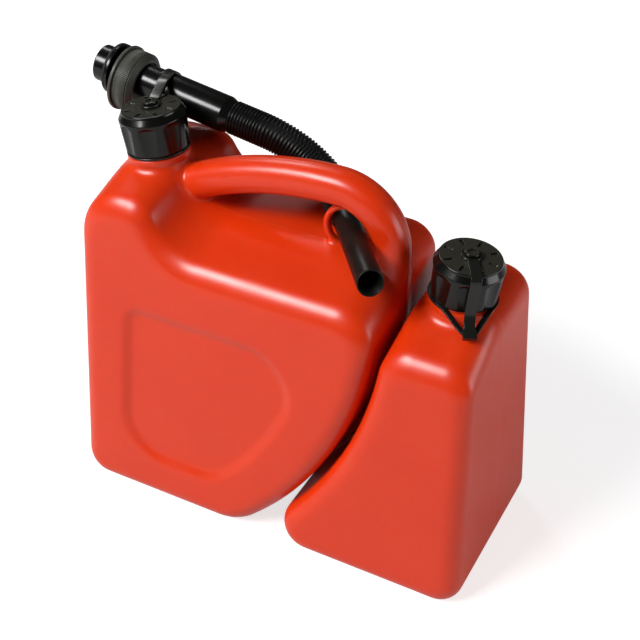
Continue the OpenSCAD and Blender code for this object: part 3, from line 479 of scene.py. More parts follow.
def petrol_shell(fine=6, edge=12, middle=40, slope=10):
    """The petrol tank's skin: a stack of rings from the sunk panel in front to the one at the back."""
    rows = [ring_at(petrol_outline(y, i, fine), y) for y, i in stations(HALF, EDGE_R, edge, middle)]
    rim, border = petrol_outline(-HALF, EDGE_R, fine), recess_outline(-RECESS_OUT, fine)
    rim_back = petrol_outline(HALF, EDGE_R, fine)

    def face(rim, side):
        flat, sunk = [], []
        for t in (0.05, 0.3, 0.6, 0.85):
            flat.append(ring_at([a * (1 - t) + b * t for a, b in zip(rim, border)], side * HALF))
        for k in range(slope + 1):
            t = k / slope
            inset = RECESS_IN * t - RECESS_OUT * (1 - t)
            sunk.append(ring_at(recess_outline(inset, fine), side * (HALF - RECESS_DEPTH * smooth(t))))
        return flat + sunk
    return skinned(list(reversed(face(rim, -1))) + rows + face(rim_back, 1))


def oil_shell(fine=8, edge=12, middle=40):
    return skinned([ring_at(oil_outline(y, i, fine), y) for y, i in stations(HALF, EDGE_R, edge, middle)])


def handle_bar(sides=40, fullness=2.25, arch_steps=60, bend_steps=24, leg_steps=12):
    """The carrying handle: a long arch that bends down into its right leg."""
    def arc(r, a):
        return APEX_X + r * math.cos(a), HANDLE_Z - r + r * math.sin(a), a - math.pi / 2

    reach = math.asin((APEX_X - HUMP_X) / ARCH_R)
    spine = [arc(ARCH_R, math.pi / 2 + reach * (1 - k / arch_steps)) for k in range(arch_steps + 1)]
    spine += [arc(BEND_R, math.pi / 2 * (1 - k / bend_steps)) for k in range(1, bend_steps + 1)]
    foot_z, knee_z = SHOULDER_Z - SHOULDER_R, HANDLE_Z - BEND_R
    for k in range(1, leg_steps + 1):
        spine.append((LEG_X, knee_z + (foot_z - knee_z) * k / leg_steps, -math.pi / 2))
    rings = []
    for x, z, a in spine:
        ring = []
        for i in range(sides):
            b = 2 * math.pi * i / sides
            c, s = math.cos(b), math.sin(b)
            r = HANDLE_R / (abs(c) ** fullness + abs(s) ** fullness) ** (1 / fullness)
            ring.append((x - math.sin(a) * r * s, -r * c, z + math.cos(a) * r * s))
        rings.append(ring)
    return skinned(rings)


def eye_ring(around=72, sides=16, fullness=0.7):
    """The rounded rim of the spout's eye."""
    mid, half_w, half_t = EYE_R + EYE_RIM / 2, EYE_RIM / 2, EYE_T / 2
    verts = []
    for k in range(around):
        a = 2 * math.pi * k / around
        for i in range(sides):
            b = 2 * math.pi * i / sides
            r = mid + half_w * bulged(math.cos(b), fullness)
            y = half_t * bulged(math.sin(b), fullness)
            verts.append((EYE_C[0] + r * math.cos(a), y, EYE_C[1] + r * math.sin(a)))
    return verts, round_faces(around, sides)


def eye_plate(steps=36, sweep=92, sunk=4, tuck=1.2, thinner=0.6):
    """The web between the eye's rim, the handle, its leg and the ridge."""
    inner, outer = [], []
    low, high = EYE_C[1] - RIDGE_Z + sunk, HANDLE_Z - HANDLE_R - EYE_C[1] + sunk
    wide, least = LEG_X - EYE_C[0], 1e-3
    for k in range(steps + 1):
        a = math.radians(-sweep + 2 * sweep * k / steps)
        c, s = math.cos(a), math.sin(a)
        reach = min(wide / max(c, least), (high if s > 0 else low) / max(abs(s), least))
        reach = max(reach, EYE_R + EYE_RIM)
        inner.append((EYE_C[0] + (EYE_R + tuck) * c, EYE_C[1] + (EYE_R + tuck) * s))
        outer.append((EYE_C[0] + reach * c, EYE_C[1] + reach * s))
    loop = inner + outer[::-1]
    half_t, count = EYE_T / 2 - thinner, len(loop)
    verts = [(x, -half_t, z) for x, z in loop] + [(x, half_t, z) for x, z in loop]
    faces = []
    for k in range(steps):
        quad = (k, k + 1, count - 2 - k, count - 1 - k)
        faces += [quad, tuple(v + count for v in reversed(quad))]
    for k in range(count):
        m = (k + 1) % count
        faces.append((k, m, count + m, count + k))
    return verts, faces


def gap_web(steps=40):
    """The web in the parting plane that joins the two tanks."""
    low, high = (math.asin((z - SWEEP_Z) / SWEEP_R) for z in (WEB_LOW, WEB_HIGH))
    rings = []
    for k in range(steps + 1):
        a = low + (high - low) * k / steps
        c, s = math.cos(a), math.sin(a)
        corners = [(SWEEP_R - WALL / 2, -1), (SWEEP_R + TANK_GAP - SEAT, -1),
                   (SWEEP_R + TANK_GAP - SEAT, 1), (SWEEP_R - WALL / 2, 1)]
        rings.append([(SWEEP_C[0] + r * c, side * WEB_T / 2, SWEEP_C[1] + r * s) for r, side in corners])
    return skinned(rings)


def neck_foot(matrix, sides=72, rows=8, tuck=0.8):
    """The flared foot that lifts a tank's skin to its neck and ends just inside the bead."""
    turns = [2 * math.pi * i / sides for i in range(sides)]
    rings = []
    for k in range(rows + 1):
        t = k / rows
        r, z = NECK_FOOT_R + (BEAD_R - tuck - NECK_FOOT_R) * t, -NECK_ROOT + (NECK_ROOT + tuck) * t
        rings.append([tuple(matrix @ Vector((r * math.cos(a), r * math.sin(a), z))) for a in turns])
    return skinned(rings)


def outward(verts, faces):
    """The same skin with its faces turned outwards."""
    mesh = bpy.data.meshes.new("skin")
    mesh.from_pydata([tuple(v) for v in verts], [], faces)
    work = bmesh.new()
    work.from_mesh(mesh)
    bmesh.ops.remove_doubles(work, verts=work.verts, dist=1e-4)
    bmesh.ops.dissolve_degenerate(work, edges=work.edges, dist=1e-5)
    bmesh.ops.recalc_face_normals(work, faces=work.faces)
    bmesh.ops.triangulate(work, faces=[f for f in work.faces if len(f.verts) > 4])
    work.verts.index_update()
    points = [v.co.copy() for v in work.verts]
    polys = [tuple(v.index for v in f.verts) for f in work.faces]
    work.free()
    bpy.data.meshes.remove(mesh)
    return points, polys


def moulded_together(name, parts, rounding, voxel, material, settling=4, passes=60):
    """One blown skin from overlapping parts. Where parts i and j join, the fillet is rounding(i, j)."""
    skins = [outward(*p) for p in parts]
    verts, faces = [], []
    for points, polys in skins:
        base = len(verts)
        verts += points
        faces += [tuple(v + base for v in f) for f in polys]
    mesh = bpy.data.meshes.new(name)
    mesh.from_pydata(verts, [], faces)
    mesh.transform(Matrix.Scale(MM, 4))
    made = bpy.data.objects.new(name, mesh)
    scene.collection.objects.link(made)
    remesh = made.modifiers.new("join", "REMESH")
    remesh.mode = "VOXEL"
    remesh.voxel_size = voxel * MM
    bpy.context.view_layer.update()
    joined = bpy.data.meshes.new_from_object(made.evaluated_get(bpy.context.evaluated_depsgraph_get()))
    made.modifiers.remove(remesh)
    made.data = joined
    bpy.data.meshes.remove(mesh)
    count = len(joined.vertices)
    flat = np.empty(count * 3)
    joined.vertices.foreach_get("co", flat)
    at = flat.reshape(-1, 3) / MM
    pairs = np.empty(len(joined.edges) * 2, dtype=np.int64)
    joined.edges.foreach_get("vertices", pairs)
    a, b = pairs.reshape(-1, 2).T
    degree = np.bincount(a, minlength=count) + np.bincount(b, minlength=count)

    def relaxed(at):
        total = np.empty_like(at)
        for k in range(3):
            total[:, k] = np.bincount(a, at[b, k], count) + np.bincount(b, at[a, k], count)
        return at + 0.5 * (total / degree[:, None] - at)

    trees = [BVHTree.FromPolygons(points, polys) for points, polys in skins]

    def snapped(at):
        spots, gaps = np.empty((len(trees),) + at.shape), np.empty((len(trees), count))
        for t, tree in enumerate(trees):
            for i in range(count):
                spot, _, _, gap = tree.find_nearest(at[i])
                spots[t, i], gaps[t, i] = spot, gap
        nearest = gaps.argmin(axis=0)
        hold = np.ones(count)
        for i in range(len(trees)):
            mine = nearest == i
            for j in range(len(trees)):
                if j != i:
                    hold[mine] = np.minimum(hold[mine], smooth(gaps[j, mine] / rounding(i, j)))
        return spots[nearest, np.arange(count)], hold[:, None]

    for _ in range(settling):
        at = relaxed(at)
    target, hold = snapped(at)
    for _ in range(passes):
        at = relaxed(at)
        at = at * (1 - hold) + target * hold
    target, _ = snapped(at)
    at = at * (1 - hold) + target * hold
    joined.vertices.foreach_set("co", (at * MM).ravel())
    joined.polygons.foreach_set("use_smooth", [True] * len(joined.polygons))
    joined.materials.clear()
    joined.materials.append(material)
    joined.update()
    return made


def neck_tube(name, matrix):
    """A tank's neck with its bead and its bore."""
    floor_z = -NECK_ROOT + 2
    profile = eased([(0.0, -NECK_ROOT, 0), (BEAD_R, -NECK_ROOT, 0), (BEAD_R, BEAD_H, 1.2),
                     (NECK_R, BEAD_H, 1.0), (NECK_R, RIM_Z, 0.8), (NECK_BORE_R, RIM_Z, 0.6),
                     (NECK_BORE_R, floor_z, 1.5), (0.0, floor_z, 0)])
    return revolved(name, profile, tank_red, matrix, 128, closed=False)


VOXEL, NECK_FILLET, SMALL_FILLET = 2.0, 11, 5
SHELL, HANDLE, RIM, PLATE, FOOT = 0, 1, 2, 3, 5
PETROL_FILLETS = {(SHELL, HANDLE): 8, (RIM, PLATE): 3, (SHELL, RIM): 7, (SHELL, PLATE): 7, (HANDLE, PLATE): 6,
                  (SHELL, FOOT): NECK_FILLET}
petrol_tank = moulded_together(
    "petrol_tank_skin",
    [petrol_shell(), handle_bar(), eye_ring(), eye_plate(), gap_web(), neck_foot(PETROL_NECK)],
    lambda i, j: PETROL_FILLETS.get((min(i, j), max(i, j)), SMALL_FILLET), VOXEL, tank_red)
settle(petrol_tank, "can", "tank_red", "petrol_tank")
settle(neck_tube("petrol_neck", PETROL_NECK), "can", "tank_red", "petrol_tank")
oil_tank = moulded_together("oil_tank_skin", [oil_shell(), neck_foot(OIL_NECK)], lambda i, j: NECK_FILLET,
                            VOXEL, tank_red)
settle(oil_tank, "can", "tank_red", "oil_tank")
settle(neck_tube("oil_neck", OIL_NECK), "can", "tank_red", "oil_tank")


# Screw caps

def soft_least(a, b, k):
    """The smaller of a and b, blended where they differ by less than k."""
    h = max(k - abs(a - b), 0) / k
    return min(a, b) - h * h * k / 4


def cap_form(r, z, angle):
    """Cuts the scallops into the skirt and the slots into the top."""
    skin, soft, deepest = 0.5, 0.5, 2.5
    if r > CAP_BORE_R + 0.4 and z < CAP_TOP_Z - skin:
        step = 2 * math.pi / LOBES
        phi = (angle % step) - step / 2
        high = CAP_TOP_Z - LOBE_DROP
        pull = HOOD_RUN * LOBE_DEPTH * min(max((z - high + HOOD_H) / HOOD_H, 0), deepest)
        away, cut = CAP_R - LOBE_DEPTH + LOBE_R, LOBE_R - pull
        inside = cut * cut - (away * math.sin(phi)) ** 2
        if inside > 0:
            r = max(soft_least(r, away * math.cos(phi) - math.sqrt(inside), soft), CAP_BORE_R + skin)
    elif z > CAP_TOP_Z - 0.2 and BUTTON_R + 1 < r < PLATE_R - 1:
        step = 2 * math.pi / SLOTS
        phi = ((angle + step / 2) % step) - step / 2
        across = abs(r * math.sin(phi)) - SLOT_W / 2
        along = abs(r * math.cos(phi) - (PLATE_R - SLOT_EDGE - SLOT_LEN / 2)) - SLOT_LEN / 2
        z -= SLOT_DEPTH * float(1 - smooth((max(across, along) + soft) / 0.7))
    return r, z


def screw_cap(name, matrix, fine=0.55):
    """A cap with its skirt, plate and swivel button, cut by cap_form."""
    hem, dish_z = CAP_R - CAP_TAPER, HEAD_Z + DISH_RISE
    inside = eased([(CAP_BORE_R, SEAL_TOP_Z, 0.6), (CAP_BORE_R, SKIRT_Z, 0.4), (hem, SKIRT_Z, 0.7),
                    (CAP_R, CAP_TOP_Z - LOBE_DROP, 1.4), (PLATE_R + 0.3, CAP_TOP_Z - PLATE_H, 0.3),
                    (PLATE_R, CAP_TOP_Z, 0.9), (STEM_R, CAP_TOP_Z, 0.3), (STEM_R, HEAD_Z, 0.2),
                    (BUTTON_R, HEAD_Z, 0.5), (BUTTON_R, HEAD_Z + BUTTON_T, 0.9),
                    (DISH_R, HEAD_Z + BUTTON_T, 0.4), (DISH_FOOT_R, dish_z, 0.3), (0.0, dish_z, 0)])
    profile = dense([np.array([0.0, SEAL_TOP_Z])] + inside, fine)
    return revolved(name, profile, cap_black, matrix, 384, closed=False, warp=cap_form)


settle(screw_cap("petrol_cap_fluted", PETROL_NECK), "petrol_cap", "cap_black", "petrol_cap")
settle(screw_cap("oil_cap_fluted", OIL_NECK), "oil_cap", "cap_black", "oil_cap")


# Tethers

UPWARDS = (0, 0, 1)


def curve_through(points, step):
    """Evenly spaced points on a smooth curve through the given ones."""
    points = np.array(points, float)
    ends = np.vstack([2 * points[0] - points[1], points, 2 * points[-1] - points[-2]])
    out = []
    for i in range(1, len(ends) - 2):
        p0, p1, p2, p3 = ends[i - 1:i + 3]
        n = max(2, int(np.linalg.norm(p2 - p1) / step))
        for k in range(n):
            t = k / n
            out.append(0.5 * (2 * p1 + (p2 - p0) * t + (2 * p0 - 5 * p1 + 4 * p2 - p3) * t * t
                              + (3 * p1 - p0 - 3 * p2 + p3) * t ** 3))
    out.append(points[-1])
    return np.array(out)


def band(name, path, face_up, width, thick, matrix=None, loop=False, sides=24):
    """A flat strap with raised edges along a path. face_up is its outward side, for all points or each."""
    count = len(path)
    facing = np.broadcast_to(np.array(face_up, float), path.shape)
    rings = []
    for i in range(count):
        ahead = path[(i + 1) % count] if loop else path[min(i + 1, count - 1)]
        back = path[i - 1] if loop else path[max(i - 1, 0)]
        along = (ahead - back) / np.linalg.norm(ahead - back)
        up = facing[i] - along * (facing[i] @ along)
        up /= np.linalg.norm(up)
        side = np.cross(along, up)
        ring = []
        for b in np.linspace(0, 2 * math.pi, sides, endpoint=False):
            c, s = math.cos(b), math.sin(b)
            u = width / 2 * bulged(c, 0.25)
            w = thick / 2 * bulged(s, 0.45) * (0.8 + 0.3 * abs(c) ** 5)
            ring.append(path[i] + side * u + up * w)
        rings.append(ring)
    if loop:
        verts, faces = [p for ring in rings for p in ring], round_faces(count, sides)
    else:
        verts, faces = skinned(rings)
    return closed_mesh(name, verts, faces, strap_black, matrix)


def eyelet(name, matrix):
    """The tether's ring under the cap's button."""
    inner, outer = STEM_R + SEAT, BUTTON_R + EYELET_W
    profile = eased([(inner, EYELET_Z, 0.4), (outer, EYELET_Z, 0.5), (outer, EYELET_Z + STRAP_T, 0.8),
                     (inner, EYELET_Z + STRAP_T, 0.4)])
    return revolved(name, profile, strap_black, matrix, 72)


def oil_tether(step=0.7, tab_steps=24, ring_steps=60):
    """The oil cap's tether: eyelet, strap over the skirt, and a drop-shaped ring that ends in a thick tab."""
    spin = OIL_NECK @ turn("Z", TETHER_TURN)
    top = EYELET_Z + STRAP_T / 2
    drop = -CAP_R - SEAT - STRAP_T / 2
    line = curve_through([(0, -6.4, top), (0, -13, top + 0.1), (0, drop + 5.5, top),
                          (0, drop + 1.6, top - 1.4), (0, drop, top - 5.5), (0, drop - 0.2, 24),
                          (0, drop - 0.5, 14), (0, drop - 2.2, 6.5), (0, -33.0, 1.2), (0, -37.6, -1.7)], step)
    outside = []
    for i in range(len(line)):
        along = line[min(i + 1, len(line) - 1)] - line[max(i - 1, 0)]
        outside.append(np.array([0, along[2], -along[1]]) / np.linalg.norm(along[1:]))
    strap = band("oil_tether_strap", line, outside, STRAP_W, STRAP_T, spin)
    tab = np.array([3.0, -36.5])
    tangent = math.atan2(tab[1], tab[0]) + math.acos(RING_MID_R / np.linalg.norm(tab))
    touch = RING_MID_R * np.array([math.cos(tangent), math.sin(tangent)])
    low, flat = -2.6, RING_Z + STRAP_T / 2
    right = []
    for k in range(tab_steps + 1):
        t = k / tab_steps
        spot = tab * (1 - t) + touch * t
        right.append((spot[0], spot[1], low + (flat - low) * float(smooth(t * 1.1))))
    left = [(-x, y, z) for x, y, z in reversed(right)]
    back = []
    for k in range(1, ring_steps):
        a = tangent + (math.pi - 2 * tangent) * k / ring_steps
        back.append((RING_MID_R * math.cos(a), RING_MID_R * math.sin(a), flat))
    drop_ring = np.array(right + back + left)
    ring = band("oil_tether_ring", drop_ring, UPWARDS, RING_W, STRAP_T, spin, loop=True)
    end = curve_through([(0, -33.5, -0.9), (0, -35.5, -1.6), (0, -38.0, -2.6), (0, -40.2, -3.6)], 0.6)
    block = band("oil_tether_tab", end, (0, -0.4, 1), STRAP_W + TAB_EXTRA_W, TAB_T, spin)
    return [strap, ring, block, eyelet("oil_tether_eyelet", spin)]


def petrol_tether(step=0.7):
    """The petrol cap's tether: eyelet, strap to the back, band round the spout's hub, ring round the neck."""
    start = np.array(PETROL_NECK @ Vector((0, 0, EYELET_Z + STRAP_T / 2)))
    up = np.array([math.sin(FALL), 0, math.cos(FALL)])
    inner = HUB_R + SEAT
    top, foot = HUB_C + up * (inner + STRAP_T / 2), HUB_C - up * (inner + STRAP_T / 2)
    away = np.array([HUB_C[0] - start[0], HUB_C[1], 0])
    away /= np.linalg.norm(away)
    line = curve_through([start + away * 7.0, start + away * 13 + (0, 0, 0.5),
                          start * 0.35 + top * 0.65 + (0, 0, 1.4), top - away * 8 + (0, 0, 0.1),
                          top - away * 1 + (0, 0, 0.2), top + away * 5 - (0, 0, 1.2)], step)
    strap = band("petrol_tether_strap", line, UPWARDS, STRAP_W, STRAP_T)
    outer, lo, hi = inner + STRAP_T, LOOP_Z - STRAP_W / 2, LOOP_Z + STRAP_W / 2
    loop = revolved("petrol_tether_loop", eased([(inner, lo, 0.3), (outer, lo, 0.6), (outer, hi, 0.6),
                                                 (inner, hi, 0.3)]), strap_black, SPOUT, 96)
    edge, ring_top = RING_R + RING_W - RING_SLIM, RING_Z + STRAP_T
    ring = revolved("petrol_tether_ring", eased([(RING_R, RING_Z, 0.3), (edge, RING_Z, 0.8),
                                                 (edge, ring_top, 0.8), (RING_R, ring_top, 0.3)]),
                    strap_black, PETROL_NECK, 128)
    hub = np.array(PETROL_NECK @ Vector((0, 0, RING_Z + STRAP_T / 2)))
    back = np.array([foot[0] - hub[0], foot[1], 0])
    reach = np.linalg.norm(back)
    back /= reach
    dip = hub + back * RING_MID_R + (0, 0, back[0] * RING_MID_R * math.sin(math.radians(PETROL_LEAN)))
    rise = foot[2] - dip[2]
    under = curve_through([dip, dip + back * RING_W,
                           dip + back * (0.5 * (reach - RING_MID_R)) + (0, 0, 0.3 * rise),
                           foot - back * 4 - (0, 0, 1.4), foot + back * 1.5 + (0, 0, 0.2)], step)
    lower = band("petrol_tether_lower_strap", under, UPWARDS, STRAP_W, STRAP_T)
    return [strap, loop, ring, lower, eyelet("petrol_tether_eyelet", PETROL_NECK)]


for piece in oil_tether():
    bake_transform(piece)
    settle(piece, None, "strap_black", "oil_cap_tether")
for piece in petrol_tether():
    if piece.name == "petrol_tether_strap":
        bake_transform(piece)
    else:
        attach(piece, "petrol_seal" if piece.name.endswith("eyelet") else "can")
    settle(piece, None, "strap_black", "petrol_cap_tether")


# Spout

def spout_inlet():
    """Stub, flange and the spigot inside the hub."""
    bore, spigot, end = INLET_R - INLET_WALL, TUBE_BORE_R - RUNNING, HUB_Z + SPIGOT_LEN
    inner = spigot - NIPPLE_WALL
    return eased([(bore, 0, 0.6), (INLET_R, 0, 0.9), (INLET_R, INLET_LEN, 0.2), (FLANGE_R, INLET_LEN, 0.5),
                  (FLANGE_R, HUB_Z, 0.5), (spigot, HUB_Z, 0.1), (spigot, end, 0.3), (inner, end, 0.3),
                  (inner, INLET_LEN, 0.3), (bore, GASKET_Z, 0.5)])


def spout_gasket():
    """The washer in front of the flange."""
    inner, back = INLET_R + RUNNING, INLET_LEN - FACE_GAP
    return eased([(inner, GASKET_Z, 0.3), (FLANGE_R, GASKET_Z, 0.7), (FLANGE_R, back, 0.5),
                  (inner, back, 0.2)])


def spout_collar():
    """The collar's drum: lip, bed for the knurl, groove, plain band, chamfer and the hole for the hub."""
    lip, end, hole = COLLAR_R + COLLAR_LIP, COLLAR_Z + COLLAR_LEN, COLLAR_HOLE_R
    bed, groove, face = COLLAR_R - KNURL_BED, COLLAR_R - GROOVE_DEPTH, COLLAR_Z + COLLAR_LIP_T
    return eased([(CAP_BORE_R, COLLAR_Z, 0.4), (lip, COLLAR_Z, 0.7), (lip, face, 0.5), (bed, face, 0.2),
                  (bed, KNURL_END + 0.1, 0.1), (groove, KNURL_END + 0.3, 0.1), (groove, KNURL_END + 0.8, 0.1),
                  (COLLAR_R, KNURL_END + 1.0, 0.2), (COLLAR_R, end - COLLAR_CHAMFER, 0.8),
                  (COLLAR_R - COLLAR_CHAMFER, end, 0.8), (hole, end, 0.5), (hole, end - COLLAR_END_T, 0.3),
                  (CAP_BORE_R, end - COLLAR_END_T, 0.6)])


def spout_tube():
    """Hub, shouldered barrel and the nipple that holds the hose."""
    end, bore = TUBE_LEN + NIPPLE_LEN, NIPPLE_R - NIPPLE_WALL
    return eased([(TUBE_BORE_R, HUB_Z, 0.3), (HUB_R, HUB_Z, 0.4), (HUB_R, TUBE_Z, 0.6),
                  (TUBE_R, TUBE_Z + 0.8, 0.6), (TUBE_R, TUBE_LEN - TUBE_TAPER, 3.0),
                  (HOSE_R - RIB_DEPTH, TUBE_LEN, 0.6), (NIPPLE_R, TUBE_LEN, 0.1), (NIPPLE_R, end, 0.4),
                  (bore, end, 0.3), (bore, TUBE_LEN - TUBE_TAPER, 0.5),
                  (TUBE_BORE_R, TUBE_LEN - 2 * TUBE_TAPER, 0.5)])


def spout_tip():
    """Nipple, shoulder and nozzle, with a countersunk mouth."""
    length, step = TIP_BACK + TIP_REACH, TIP_R + TIP_SHOULDER
    return eased([(TIP_BORE_R, -NIPPLE_LEN, 0.3), (NIPPLE_R, -NIPPLE_LEN, 0.5), (NIPPLE_R, SEAT, 0.1),
                  (step, SEAT, 0.6), (step, TIP_SHOULDER_LEN, 0.8),
                  (TIP_R, TIP_SHOULDER_LEN + TIP_SHOULDER, 0.8), (TIP_R, length, 0.5),
                  (TIP_R - TIP_LIP, length, 0.3), (TIP_BORE_R, length - TIP_COUNTERSINK, 0.6)])


def slanted(r, z, angle):
    """Leans the rim of the tip's mouth, so that its lower lip reaches further."""
    if z > TIP_BACK + TIP_REACH - TIP_SLANT_RUN:
        z -= r * math.sin(angle) * math.tan(math.radians(TIP_SLANT))
    return r, z


settle(revolved("spout_inlet_stub", spout_inlet(), spout_black, SPOUT, 128),
       "can", "spout_black", "spout_inlet")
settle(revolved("spout_gasket_ring", spout_gasket(), seal_grey, SPOUT, 128),
       "can", "seal_rubber", "spout_gasket")
settle(revolved("spout_collar_drum", spout_collar(), collar_black, HUNG, 160),
       "collar", "cap_black", "spout_collar")
settle(revolved("spout_tube_barrel", spout_tube(), spout_black, SPOUT, 128),
       "can", "spout_black", "spout_tube")
settle(revolved("spout_tip_nozzle", spout_tip(), tip_black, TIP, 128, warp=slanted),
       "tip", "spout_black", "spout_tip")


def group(name, inputs):
    """An empty geometry tree with the given named inputs, and its in and out nodes."""
    tree = bpy.data.node_groups.new(name, "GeometryNodeTree")
    tree.interface.new_socket("Geometry", in_out="INPUT", socket_type="NodeSocketGeometry")
    for label, kind in inputs:
        tree.interface.new_socket(label, in_out="INPUT", socket_type=kind)
    tree.interface.new_socket("Geometry", in_out="OUTPUT", socket_type="NodeSocketGeometry")
    return tree, tree.nodes.new("NodeGroupInput"), tree.nodes.new("NodeGroupOutput")


def finish_tree(tree, given, out, shape):
    """Ends a tree: real geometry in its own material."""
    real = node(tree, "GeometryNodeRealizeInstances", {"Geometry": shape})
    dressed = node(tree, "GeometryNodeSetMaterial", {"Geometry": real.outputs["Geometry"],
                                                     "Material": given.outputs["Plastic"]})
    tree.links.new(dressed.outputs["Geometry"], out.inputs["Geometry"])


def grown(name, source, tree, values, matrix=None):
    """Runs a geometry tree on a source object and keeps the result as a plain mesh."""
    scene.collection.objects.link(source)
    modifier = source.modifiers.new("grow", "NODES")
    modifier.node_group = tree
    for item in tree.interface.items_tree:
        if item.in_out == "INPUT" and item.name in values:
            modifier[item.identifier] = values[item.name]
    bpy.context.view_layer.update()
    mesh = bpy.data.meshes.new_from_object(source.evaluated_get(bpy.context.evaluated_depsgraph_get()))
    mesh.name = name
    source.modifiers.remove(modifier)
    bpy.data.objects.remove(source)
    if matrix is not None:
        scaled = matrix.copy()
        scaled.translation *= MM
        mesh.transform(scaled)
    mesh.polygons.foreach_set("use_smooth", [True] * len(mesh.polygons))
    made = bpy.data.objects.new(name, mesh)
    scene.collection.objects.link(made)
    return made


def rib_tree(rings_a_rib=8.0, crest_power=0.8):
    """Sweeps a round section along a path and swells it into ribs."""
    tree, given, out = group("hose_ribs", [
        ("Core radius", "NodeSocketFloat"), ("Rib depth", "NodeSocketFloat"),
        ("Rib pitch", "NodeSocketFloat"), ("Sides", "NodeSocketInt"), ("Plastic", "NodeSocketMaterial")])
    pitch = given.outputs["Rib pitch"]
    fine = node(tree, "ShaderNodeMath", {0: pitch, 1: rings_a_rib}, operation="DIVIDE")
    path = node(tree, "GeometryNodeResampleCurve", {"Curve": given.outputs["Geometry"],
                                                    "Length": fine.outputs[0]}, mode="LENGTH")
    along = node(tree, "GeometryNodeSplineParameter")
    kept = node(tree, "GeometryNodeCaptureAttribute", {"Geometry": path.outputs["Curve"]})
    kept.capture_items.new("FLOAT", "Run")
    tree.links.new(along.outputs["Length"], kept.inputs["Run"])
    section = node(tree, "GeometryNodeCurvePrimitiveCircle", {"Resolution": given.outputs["Sides"],
                                                              "Radius": given.outputs["Core radius"]})
    tube = node(tree, "GeometryNodeCurveToMesh", {
        "Curve": kept.outputs["Geometry"], "Profile Curve": section.outputs["Curve"], "Fill Caps": True})
    phase = node(tree, "ShaderNodeMath", {0: kept.outputs["Run"], 1: pitch}, operation="DIVIDE")
    half = node(tree, "ShaderNodeMath", {0: phase.outputs[0], 1: math.pi}, operation="MULTIPLY")
    sine = node(tree, "ShaderNodeMath", {0: half.outputs[0]}, operation="SINE")
    crest = node(tree, "ShaderNodeMath", {0: sine.outputs[0]}, operation="ABSOLUTE")
    soft = node(tree, "ShaderNodeMath", {0: crest.outputs[0], 1: crest_power}, operation="POWER")
    height = node(tree, "ShaderNodeMath", {0: soft.outputs[0], 1: given.outputs["Rib depth"]},
                  operation="MULTIPLY")
    facing = node(tree, "GeometryNodeInputNormal")
    push = node(tree, "ShaderNodeVectorMath", {0: facing.outputs["Normal"], "Scale": height.outputs[0]},
                operation="SCALE")
    ribs = node(tree, "GeometryNodeSetPosition", {"Geometry": tube.outputs["Mesh"],
                                                  "Offset": push.outputs[0]})
    finish_tree(tree, given, out, ribs.outputs["Geometry"])
    return tree


def hose_route():
    """Straight out of the tube, a bend behind the handle, straight into the tip."""
    straight = 2 * HOSE_R
    a, b = TUBE_END + straight * SPOUT_DIR, HOSE_END - straight * TIP_DIR
    pull = HOSE_EASE * np.linalg.norm(b - a)
    c1, c2 = a + pull * SPOUT_DIR, b - pull * TIP_DIR
    bend = [(1 - t) ** 3 * a + 3 * (1 - t) ** 2 * t * c1 + 3 * (1 - t) * t * t * c2 + t ** 3 * b
            for t in np.linspace(0, 1, 80)]
    first = [TUBE_END + straight * t * SPOUT_DIR for t in np.linspace(0, 1, 20, endpoint=False)]
    last = [b + straight * t * TIP_DIR for t in np.linspace(0, 1, 20)][1:]
    return first + bend + last


def hose():
    """The ribbed hose, with a whole number of ribs over its length."""
    route = hose_route()
    line = bpy.data.curves.new("hose_path", "CURVE")
    line.dimensions = "3D"
    spline = line.splines.new("POLY")
    spline.points.add(len(route) - 1)
    for point, at in zip(spline.points, route):
        point.co = (*(at * MM), 1)
    length = sum(np.linalg.norm(q - p) for p, q in zip(route, route[1:]))
    ribs = round(length / RIB_PITCH)
    return grown("spout_hose_ribbed", bpy.data.objects.new("hose_path", line), rib_tree(), {
        "Core radius": (HOSE_R - RIB_DEPTH) * MM, "Rib depth": RIB_DEPTH * MM,
        "Rib pitch": length / ribs * MM, "Sides": 48, "Plastic": hose_black})


hose_piece = hose()
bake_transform(hose_piece)
settle(hose_piece, None, "spout_black", "spout_hose")


def knurl_tree():
    """Half-round ridges set round a drum, along its axis."""
    tree, given, out = group("collar_knurl", [
        ("Drum radius", "NodeSocketFloat"), ("Ridge radius", "NodeSocketFloat"),
        ("Ridge length", "NodeSocketFloat"), ("Ridges", "NodeSocketInt"), ("Plastic", "NodeSocketMaterial")])
    spots = node(tree, "GeometryNodeMeshCircle", {"Vertices": given.outputs["Ridges"],
                                                  "Radius": given.outputs["Drum radius"]})
    ridge = node(tree, "GeometryNodeMeshCylinder", {"Vertices": 8, "Radius": given.outputs["Ridge radius"],
                                                    "Depth": given.outputs["Ridge length"]})
    rows = node(tree, "GeometryNodeInstanceOnPoints", {"Points": spots.outputs["Mesh"],
                                                       "Instance": ridge.outputs["Mesh"]})
    finish_tree(tree, given, out, rows.outputs["Instances"])
    return tree


def knurl():
    """The collar's ridges, between its lip and its groove."""
    start, end = COLLAR_Z + COLLAR_LIP_T + 0.2, KNURL_END
    seed = bpy.data.objects.new("knurl_seed", bpy.data.meshes.new("knurl_seed"))
    return grown("spout_collar_knurl", seed, knurl_tree(), {
        "Drum radius": (COLLAR_R - KNURL_SINK) * MM, "Ridge radius": KNURL_R * MM,
        "Ridge length": (end - start) * MM, "Ridges": KNURL_RIDGES, "Plastic": collar_black},
        HUNG @ place(0, 0, (start + end) / 2))


settle(knurl(), "collar", "cap_black", "spout_collar")

for name in ("petrol_cap_seal", "oil_cap_seal"):
    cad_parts[name].data.materials.clear()
    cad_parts[name].data.materials.append(seal_grey)


# Studio

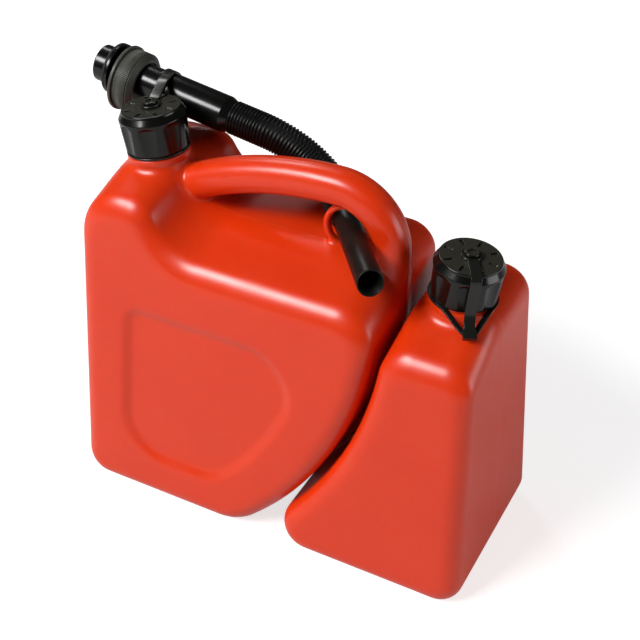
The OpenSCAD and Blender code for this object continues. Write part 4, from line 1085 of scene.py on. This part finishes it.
def floor(half=4, camera_lift=0.72, glossy_lift=0.12):
    """A pale floor that the camera sees as white outside the shadow."""
    mesh = bpy.data.meshes.new("studio_floor")
    corners = [(-half, -half, 0), (half, -half, 0), (half, half, 0), (-half, half, 0)]
    mesh.from_pydata(corners, [], [(0, 1, 2, 3)])
    made = bpy.data.materials.new("white_floor")
    made.use_nodes = True
    tree = made.node_tree
    shader = tree.nodes["Principled BSDF"]
    shader.inputs["Base Color"].default_value = linear("#cccccc")
    shader.inputs["Roughness"].default_value = 0.9
    path = node(tree, "ShaderNodeLightPath")
    glossy = node(tree, "ShaderNodeMath", {0: path.outputs["Is Glossy Ray"], 1: glossy_lift},
                  operation="MULTIPLY")
    lift = node(tree, "ShaderNodeMath", {0: path.outputs["Is Camera Ray"], 1: camera_lift,
                                         2: glossy.outputs[0]}, operation="MULTIPLY_ADD")
    shader.inputs["Emission Color"].default_value = (1, 1, 1, 1)
    tree.links.new(lift.outputs[0], shader.inputs["Emission Strength"])
    mesh.materials.append(made)
    plane = bpy.data.objects.new("studio_floor", mesh)
    scene.collection.objects.link(plane)


def lamp(name, at, aim, size, power):
    """A soft rectangular lamp. Places and sizes are in metres, power is in watts."""
    data = bpy.data.lights.new(name, "AREA")
    data.shape = "RECTANGLE"
    data.size, data.size_y = size
    data.energy = power
    made = bpy.data.objects.new(name, data)
    made.location = at
    made.rotation_euler = (Vector(aim) - Vector(at)).to_track_quat("-Z", "Y").to_euler()
    scene.collection.objects.link(made)


def studio(air=0.05):
    """A dim world that the camera sees as white, the floor and three lamps."""
    world = bpy.data.worlds.new("studio_air")
    scene.world = world
    world.use_nodes = True
    tree = world.node_tree
    path = node(tree, "ShaderNodeLightPath")
    strength = node(tree, "ShaderNodeMapRange", {"Value": path.outputs["Is Camera Ray"],
                                                 "To Min": air, "To Max": 1.0})
    back = tree.nodes["Background"]
    back.inputs["Color"].default_value = (1, 1, 1, 1)
    tree.links.new(strength.outputs["Result"], back.inputs["Strength"])
    floor()
    lamp("key", (-1.45, -2.15, 2.5), (0.07, 0, 0.18), (1.8, 1.0), 132)
    lamp("fill", (1.7, 0.3, 0.5), (0.2, 0, 0.1), (1.0, 0.7), 8)
    lamp("back", (-1.4, 1.25, 2.0), (0.05, 0, 0.24), (0.6, 0.6), 9)


def photo_camera():
    """The camera at the photo's place, fitted to its outlines. Its place is in metres."""
    data = bpy.data.cameras.new("photo_camera")
    data.lens = 68.645
    data.sensor_width = 36
    made = bpy.data.objects.new("photo_camera", data)
    made.location = (0.4551, -0.6616, 0.7235)
    made.rotation_euler = (math.radians(53.592), 0, math.radians(27.856))
    scene.collection.objects.link(made)
    scene.camera = made


studio()
photo_camera()
